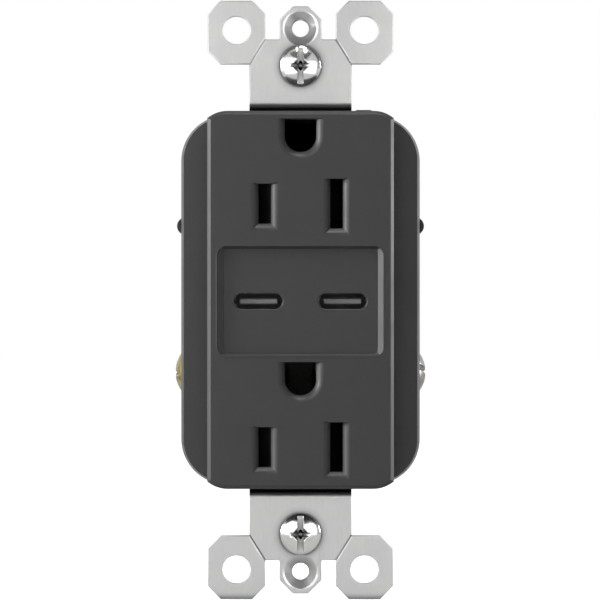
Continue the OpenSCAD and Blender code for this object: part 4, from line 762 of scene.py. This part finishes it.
@dataclass
class Screws:
    """Every screw: a headed blank with a rolled thread."""

    edge: float = 0.1 * MM
    box_thread_start: float = 1.4 * MM
    box_major_r: float = 1.75 * MM
    box_tip: float = 0.875 * MM
    terminal_major_r: float = 1.95 * MM
    terminal_tip: float = 0.975 * MM
    terminal_head: float = 2.4 * MM
    terminal_turn: float = math.radians(16)
    cross_r: float = 1.75 * MM
    cross_root_r: float = 0.28 * MM
    cross_depth: float = 1.65 * MM
    head_lap: float = 0.03 * MM
    thread_lap: float = 0.05 * MM
    assembly_heads: float = 15.5 * MM

    def widen_cross(self, mesh: bmesh.types.BMesh, start: Vector, along: Vector) -> None:
        """Opens the cross in a box screw's head to the wide diamond of a driver's tip.

        Args:
            mesh: the screw's mesh.
            start: a point on its axis.
            along: the way to its tip.
        """
        front = min(along.dot(v.co - start) for v in mesh.verts)
        tool = bmesh.new()
        aim = UP.rotation_difference(-along).to_matrix().to_4x4()
        middle = start + along * (front + self.cross_depth / 2)
        bmesh.ops.create_cone(tool, cap_ends=True, segments=4, radius1=self.cross_root_r,
                              radius2=self.cross_r, depth=self.cross_depth,
                              matrix=Matrix.Translation(middle) @ aim)
        carve(mesh, tool)

    def threaded(self, node: str, start: Vector, along: Vector, thread: ScrewThread,
                 turn: float = 0.0) -> None:
        """Joins a solid's head to a thread.

        Args:
            node: the screw's solid.
            start: where the thread starts on the screw's axis.
            along: the way to the tip.
            thread: the thread to join on.
            turn: how far its slot stands from upright or level.
        """
        mesh = merged_copy(node)
        bmesh.ops.rotate(mesh, cent=start, matrix=Matrix.Rotation(turn, 3, along), verts=mesh.verts)
        if node.endswith("box_screw"):
            self.widen_cross(mesh, start, along)
        cut_off(mesh, start - along * self.head_lap, along)
        round_edges(mesh, sharp_edges(mesh), self.edge)
        rolled = thread.mesh(FINISHES[NODE_SLOTS[node]])
        aim = UP.rotation_difference(along).to_matrix().to_4x4()
        rolled.transform(Matrix.Translation(start - along * self.thread_lap) @ aim)
        mesh.from_mesh(rolled)
        add_piece(node + "_threaded", mesh, [node])

    def build(self) -> None:
        """Builds the box screws, the terminal screws and the assembly screws."""
        for node in ("upper_box_screw", "lower_box_screw"):
            low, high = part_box(node)
            start = Vector(((low.x + high.x) / 2, self.box_thread_start, (low.z + high.z) / 2))
            length = high.y - self.box_thread_start - self.box_tip
            thread = ScrewThread(self.box_major_r, length, self.box_tip)
            self.threaded(node, start, Vector((0, 1, 0)), thread)
        for node, side in (("hot_terminal_screw", -1), ("neutral_terminal_screw", 1),
                           ("ground_terminal_screw", -1)):
            low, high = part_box(node)
            inner, outer = (low.x, high.x) if side > 0 else (high.x, low.x)
            under = outer - side * self.terminal_head
            start = Vector((under, (low.y + high.y) / 2, (low.z + high.z) / 2))
            length = abs(under - inner) - self.terminal_tip
            thread = ScrewThread(self.terminal_major_r, length, self.terminal_tip)
            self.threaded(node, start, Vector((-side, 0, 0)), thread, self.terminal_turn)
        mesh = merged_copy("assembly_screws")
        round_edges(mesh, sharp_edges(mesh, lambda middle: middle.y > self.assembly_heads), self.edge)
        add_piece("assembly_screw_set", mesh, ["assembly_screws"])


@dataclass
class Terminals:
    """The three clamp plates."""

    edge: float = 0.12 * MM

    def build(self) -> None:
        """Rounds the blanked edges and dresses the plates."""
        for node in ("hot_clamp_plate", "neutral_clamp_plate", "ground_clamp_plate"):
            mesh = merged_copy(node)
            round_edges(mesh, sharp_edges(mesh), self.edge)
            add_piece(node + "_blanked", mesh, [node])


@dataclass
class ShutterPairs:
    """The sliding shutters of both outlets and the springs between them."""

    edge: float = 0.08 * MM
    wire_r: float = 0.15 * MM
    turns: float = 7.0
    turn_steps: int = 28
    wire_sides: int = 10
    kept: float = 0.378

    def spring(self, outlet: str) -> None:
        """Winds one spring to the length of its solid.

        Args:
            outlet: "upper" or "lower".
        """
        node = outlet + "_shutter_spring"
        low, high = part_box(node)
        middle = (low + high) / 2
        made = SizedTree("shutter_spring", {
            "Coil": (high.y - low.y) / 2 - self.wire_r, "Length": high.x - low.x - 2 * self.wire_r,
            "Wire": self.wire_r, "Turns": self.turns})
        coil = made.add("GeometryNodeCurveSpiral", {"Resolution": self.turn_steps}, {
            "Rotations": made.size("Turns"), "Start Radius": made.size("Coil"),
            "End Radius": made.size("Coil"), "Height": made.size("Length")})
        wire = made.add("GeometryNodeCurvePrimitiveCircle", {"mode": "RADIUS", "Resolution": self.wire_sides},
                        {"Radius": made.size("Wire")})
        swept = made.add("GeometryNodeCurveToMesh", {"Fill Caps": True},
                         {"Curve": coil.outputs["Curve"], "Profile Curve": wire.outputs["Curve"]})
        wound = made.mesh(swept.outputs["Mesh"], FINISHES["spring_steel"])
        wound.transform(Matrix.Translation((low.x + self.wire_r, middle.y, middle.z))
                        @ Matrix.Rotation(math.pi / 2, 4, "Y"))
        mesh = bmesh.new()
        mesh.from_mesh(wound)
        piece = add_piece(node + "_wound", mesh, [node])
        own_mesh(piece)

    def build(self) -> None:
        """Rounds the slides and winds the springs."""
        for outlet in ("upper", "lower"):
            for node in (outlet + "_hot_shutter", outlet + "_neutral_shutter"):
                mesh = merged_copy(node)
                round_edges(mesh, sharp_edges(mesh), self.edge, segments=1)
                add_piece(node + "_slide", mesh, [node])
            self.spring(outlet)


@dataclass
class UsbPorts:
    """The shells and tongues behind the two USB mouths."""

    inside: float = -2 * MM
    shell_edge: float = 0.06 * MM
    tongue_edge: float = 0.16 * MM

    def build(self) -> None:
        """Rounds the pieces that show in the mouths."""
        for side in ("left", "right"):
            for node, edge in ((side + "_usb_shell", self.shell_edge),
                               (side + "_usb_tongue", self.tongue_edge)):
                mesh = merged_copy(node)
                round_edges(mesh, sharp_edges(mesh, lambda middle: middle.y < self.inside), edge)
                add_piece(node + "_formed", mesh, [node])


@dataclass
class Choke:
    """The filter choke: a ferrite ring with one layer of wire wound through it."""

    wire_r: float = 0.26 * MM
    turns: float = 18.0
    wound: float = 0.88
    points: int = 26
    wire_sides: int = 10
    ring_sides: int = 64
    section_sides: int = 24

    def build(self) -> None:
        """Winds the wire, turns the ring and puts both in the solid's place."""
        low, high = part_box("filter_choke")
        span = high - low
        flat = min(range(3), key=lambda i: span[i])
        section = span[flat] / 2
        ring = max(span) / 2 - section
        axis = Vector([float(i == flat) for i in range(3)])
        place = (Matrix.Translation((low + high) / 2)
                 @ UP.rotation_difference(axis).to_matrix().to_4x4())
        for name, made, slot in (
                ("filter_choke_winding", self.winding(ring, section - self.wire_r), "copper"),
                ("filter_choke_core", self.core(ring, section - 2 * self.wire_r), "ferrite")):
            made.transform(place)
            mesh = bmesh.new()
            mesh.from_mesh(made)
            add_piece(name, mesh, ["filter_choke"], slot)

    def winding(self, ring: float, section: float) -> bpy.types.Mesh:
        """Winds the wire.

        Args:
            ring: the radius of the ring's middle line.
            section: how far the wire's middle runs from that line.

        Returns:
            The wire as a plain mesh, its ring round +Z.
        """
        made = SizedTree("choke_winding", {
            "Ring": ring, "Section": section, "Wire": self.wire_r, "Turns": self.turns, "Wound": self.wound})
        line = made.add("GeometryNodeCurvePrimitiveLine")
        count = int(self.points * self.turns)
        fine = made.add("GeometryNodeResampleCurve", {"mode": "COUNT", "Count": count},
                        {"Curve": line.outputs["Curve"]})
        share = made.add("GeometryNodeSplineParameter").outputs["Factor"]
        along = made.maths("MULTIPLY", share, 2 * math.pi)
        round_ring = made.maths("MULTIPLY", along, made.size("Wound"))
        round_wire = made.maths("MULTIPLY", along, made.size("Turns"))
        reach = made.maths("MULTIPLY_ADD", made.maths("COSINE", round_wire), made.size("Section"),
                           made.size("Ring"))
        where = made.add("ShaderNodeCombineXYZ", {}, {
            "X": made.maths("MULTIPLY", reach, made.maths("COSINE", round_ring)),
            "Y": made.maths("MULTIPLY", reach, made.maths("SINE", round_ring)),
            "Z": made.maths("MULTIPLY", made.size("Section"), made.maths("SINE", round_wire))})
        route = made.add("GeometryNodeSetPosition", {}, {"Geometry": fine.outputs["Curve"],
                                                         "Position": where.outputs["Vector"]})
        wire = made.add("GeometryNodeCurvePrimitiveCircle", {"mode": "RADIUS", "Resolution": self.wire_sides},
                        {"Radius": made.size("Wire")})
        swept = made.add("GeometryNodeCurveToMesh", {"Fill Caps": True},
                         {"Curve": route.outputs["Geometry"], "Profile Curve": wire.outputs["Curve"]})
        return made.mesh(swept.outputs["Mesh"], FINISHES["copper"])

    def core(self, ring: float, section: float) -> bpy.types.Mesh:
        """Turns the ferrite ring.

        Args:
            ring: the radius of its middle line.
            section: the radius of its section.

        Returns:
            The ring as a plain mesh, round +Z.
        """
        made = SizedTree("choke_core", {"Ring": ring, "Section": section})
        circle, profile = (
            made.add("GeometryNodeCurvePrimitiveCircle", {"mode": "RADIUS", "Resolution": sides},
                     {"Radius": made.size(key)})
            for key, sides in (("Ring", self.ring_sides), ("Section", self.section_sides)))
        swept = made.add("GeometryNodeCurveToMesh", {}, {"Curve": circle.outputs["Curve"],
                                                         "Profile Curve": profile.outputs["Curve"]})
        return made.mesh(swept.outputs["Mesh"], FINISHES["ferrite"])


@dataclass
class Inside:
    """The contacts, boards and power supply, which keep their solids' shapes."""

    def build(self) -> None:
        """Dresses every solid that no piece has replaced."""
        for node, obj in frame["nodes"].items():
            if not obj.hide_render:
                dress(obj, NODE_SLOTS[node])
                LOG.info("%s: %s", node, FINISHES[NODE_SLOTS[node]].name)


@dataclass(frozen=True)
class SoftBox:
    """One square lamp: where it hangs, its side in metres and its power in watts."""

    name: str
    place: Tuple[float, float, float]
    side: float
    power: float

    def hang(self) -> None:
        """Hangs the lamp, aimed at the outlet."""
        data = bpy.data.lights.new(self.name, "AREA")
        data.shape = "SQUARE"
        data.size = self.side
        data.energy = self.power
        lamp = bpy.data.objects.new(self.name, data)
        lamp.location = self.place
        lamp.rotation_euler = Vector(self.place).to_track_quat("Z", "Y").to_euler()
        lamp.visible_camera = False
        lamp.light_linking.receiver_collection = pieces(SHADED_PIECES)
        bpy.context.scene.collection.objects.link(lamp)


@dataclass(frozen=True)
class Paper:
    """Matt paper on the stage: its colour and the light that it gives off to the rays that see it."""

    name: str
    colour: str
    glow: float = 0.0
    glow_in_gloss: float = 0.0

    def sheet(self, corners: Sequence[Tuple[float, float, float]],
              faces: Sequence[Tuple[int, ...]] = ((0, 1, 2, 3),)) -> bpy.types.Object:
        """Puts up the paper.

        Args:
            corners: its corners.
            faces: the corners of each flat part.

        Returns:
            The paper as an object on the stage.
        """
        mesh = bpy.data.meshes.new(self.name)
        mesh.from_pydata(list(corners), [], list(faces))
        obj = bpy.data.objects.new(self.name, mesh)
        bpy.context.scene.collection.objects.link(obj)
        material = bpy.data.materials.new(self.name)
        material.use_nodes = True
        tree = material.node_tree
        shader = tree.nodes["Principled BSDF"]
        shader.inputs["Base Color"].default_value = linear(self.colour)
        shader.inputs["Roughness"].default_value = 0.9
        shader.inputs["Specular IOR Level"].default_value = 0.0
        shader.inputs["Emission Color"].default_value = (1, 1, 1, 1)
        path = add_node(tree, "ShaderNodeLightPath")
        seen = add_node(tree, "ShaderNodeMath", {"operation": "MAXIMUM"},
                        {0: path.outputs["Is Camera Ray"], 1: path.outputs["Is Transmission Ray"]})
        gloss = add_node(tree, "ShaderNodeMath", {"operation": "MULTIPLY", 1: self.glow_in_gloss},
                         {0: path.outputs["Is Glossy Ray"]})
        glow = add_node(tree, "ShaderNodeMath", {"operation": "MULTIPLY_ADD", 1: self.glow},
                        {0: seen.outputs[0], 2: gloss.outputs[0]})
        tree.links.new(glow.outputs[0], shader.inputs["Emission Strength"])
        mesh.materials.append(material)
        return obj


def only_in_gloss(obj: bpy.types.Object) -> None:
    """Lets a card show in polished surfaces and nowhere else."""
    obj.visible_camera = obj.visible_diffuse = obj.visible_shadow = obj.visible_transmission = False


@dataclass
class Studio:
    """Soft light that rakes the face from the left and from above, a pale floor and the camera."""

    camera_at: Tuple[float, float, float] = (-0.00009, -0.7305, -0.00002)
    lens: float = 245.8
    fill: float = 0.3
    floor_side: float = 6.0
    floor_gap: float = 0.2 * MM
    card_near: Tuple[float, float] = (0.05, -0.2)
    card_far: Tuple[float, float] = (0.2, -0.1)
    left_card_z: Tuple[float, float] = (-0.12, 0.15)
    right_card_z: Tuple[float, float] = (-0.15, 0.1)
    top_card_x: float = 0.5
    top_card_y: Tuple[float, float] = (-1.2, -0.3)
    top_card_z: float = 0.62
    ring_r: float = 0.98
    ring_y: Tuple[float, float] = (-0.3, 0.3)
    ring_sides: int = 24
    lamps: Tuple[SoftBox, ...] = (
        SoftBox("left", (-0.9, -0.21, 0.2), 0.34, 15.0),
        SoftBox("above", (0.03, -0.14, 0.37), 0.16, 1.1),
        SoftBox("behind", (0.88, 0.155, 0.15), 0.28, 9.0),
    )

    def build(self) -> None:
        """Sets up the world, the lamps, the paper and the camera."""
        bpy.context.scene.view_settings.view_transform = "Standard"
        self.light_world()
        for lamp in self.lamps:
            lamp.hang()
        self.lay_floor()
        self.hang_cards()
        data = bpy.data.cameras.new("camera")
        data.lens = self.lens
        data.clip_start, data.clip_end = 0.01, 20
        camera = bpy.data.objects.new("camera", data)
        camera.location = self.camera_at
        camera.rotation_euler = (math.pi / 2, 0, 0)
        bpy.context.scene.collection.objects.link(camera)
        bpy.context.scene.camera = camera

    def light_world(self) -> None:
        """Makes the world white where it is seen and a plain fill light elsewhere."""
        world = bpy.data.worlds.new("studio")
        world.use_nodes = True
        bpy.context.scene.world = world
        tree = world.node_tree
        path = add_node(tree, "ShaderNodeLightPath")
        direct = add_node(tree, "ShaderNodeMath", {"operation": "MAXIMUM"},
                          {0: path.outputs["Is Camera Ray"], 1: path.outputs["Is Glossy Ray"]})
        seen = add_node(tree, "ShaderNodeMath", {"operation": "MAXIMUM"},
                        {0: direct.outputs[0], 1: path.outputs["Is Transmission Ray"]})
        strength = add_node(tree, "ShaderNodeMapRange", {"To Min": self.fill, "To Max": 1.0},
                            {"Value": seen.outputs[0]})
        background = tree.nodes["Background"]
        background.inputs["Color"].default_value = (1, 1, 1, 1)
        tree.links.new(strength.outputs["Result"], background.inputs["Strength"])

    def lay_floor(self) -> None:
        """Lays a white floor under the outlet that keeps its shadow."""
        half, level = self.floor_side / 2, CAD_BOX[0].z - self.floor_gap
        Paper("white_floor_paper", "#c8c8c8", glow=0.86, glow_in_gloss=0.1).sheet(
            [(-half, -half, level), (half, -half, level), (half, half, level), (-half, half, level)])

    def hang_cards(self) -> None:
        """Hangs the cards that give polished metal its white patches and dark lines."""
        white = Paper("white_card", "#ffffff", glow_in_gloss=2.0)
        self.side_card(white, -1, self.left_card_z)
        right = self.side_card(white, 1, self.right_card_z)
        right.light_linking.receiver_collection = pieces(METAL_PIECES)
        grey = Paper("grey_card", "#6a6a6a")
        half, level = self.top_card_x, self.top_card_z
        front, back = self.top_card_y
        only_in_gloss(grey.sheet([(-half, front, level), (half, front, level), (half, back, level),
                                  (-half, back, level)]))
        count = self.ring_sides
        turns = [2 * math.pi * i / count for i in range(count)]
        ring = [(self.ring_r * math.cos(t), y, self.ring_r * math.sin(t)) for y in self.ring_y for t in turns]
        sides = [(i, (i + 1) % count, count + (i + 1) % count, count + i) for i in range(count)]
        only_in_gloss(grey.sheet(ring, sides))

    def side_card(self, paper: Paper, side: int, span: Tuple[float, float]) -> bpy.types.Object:
        """Hangs one upright card beside the camera.

        Args:
            paper: the card's paper.
            side: -1 for the left, 1 for the right.
            span: its lower and upper edge.

        Returns:
            The card, which shows in gloss alone.
        """
        low, high = span
        near, far = ((side * x, y) for x, y in (self.card_near, self.card_far))
        card = paper.sheet([(*near, low), (*far, low), (*far, high), (*near, high)])
        only_in_gloss(card)
        return card


def main() -> None:
    """Builds the studio and the outlet's sub-assemblies in order, and logs each as it is done."""
    logging.basicConfig(level=logging.INFO, format="%(name)s %(message)s")
    for part in (Studio(), Cover(), Housing(), Strap(), Screws(), Terminals(), ShutterPairs(), UsbPorts(),
                 Choke(), Inside()):
        part.build()
        LOG.info("%s done", type(part).__name__)
    bpy.context.view_layer.update()


if __name__ == "__main__":
    main()
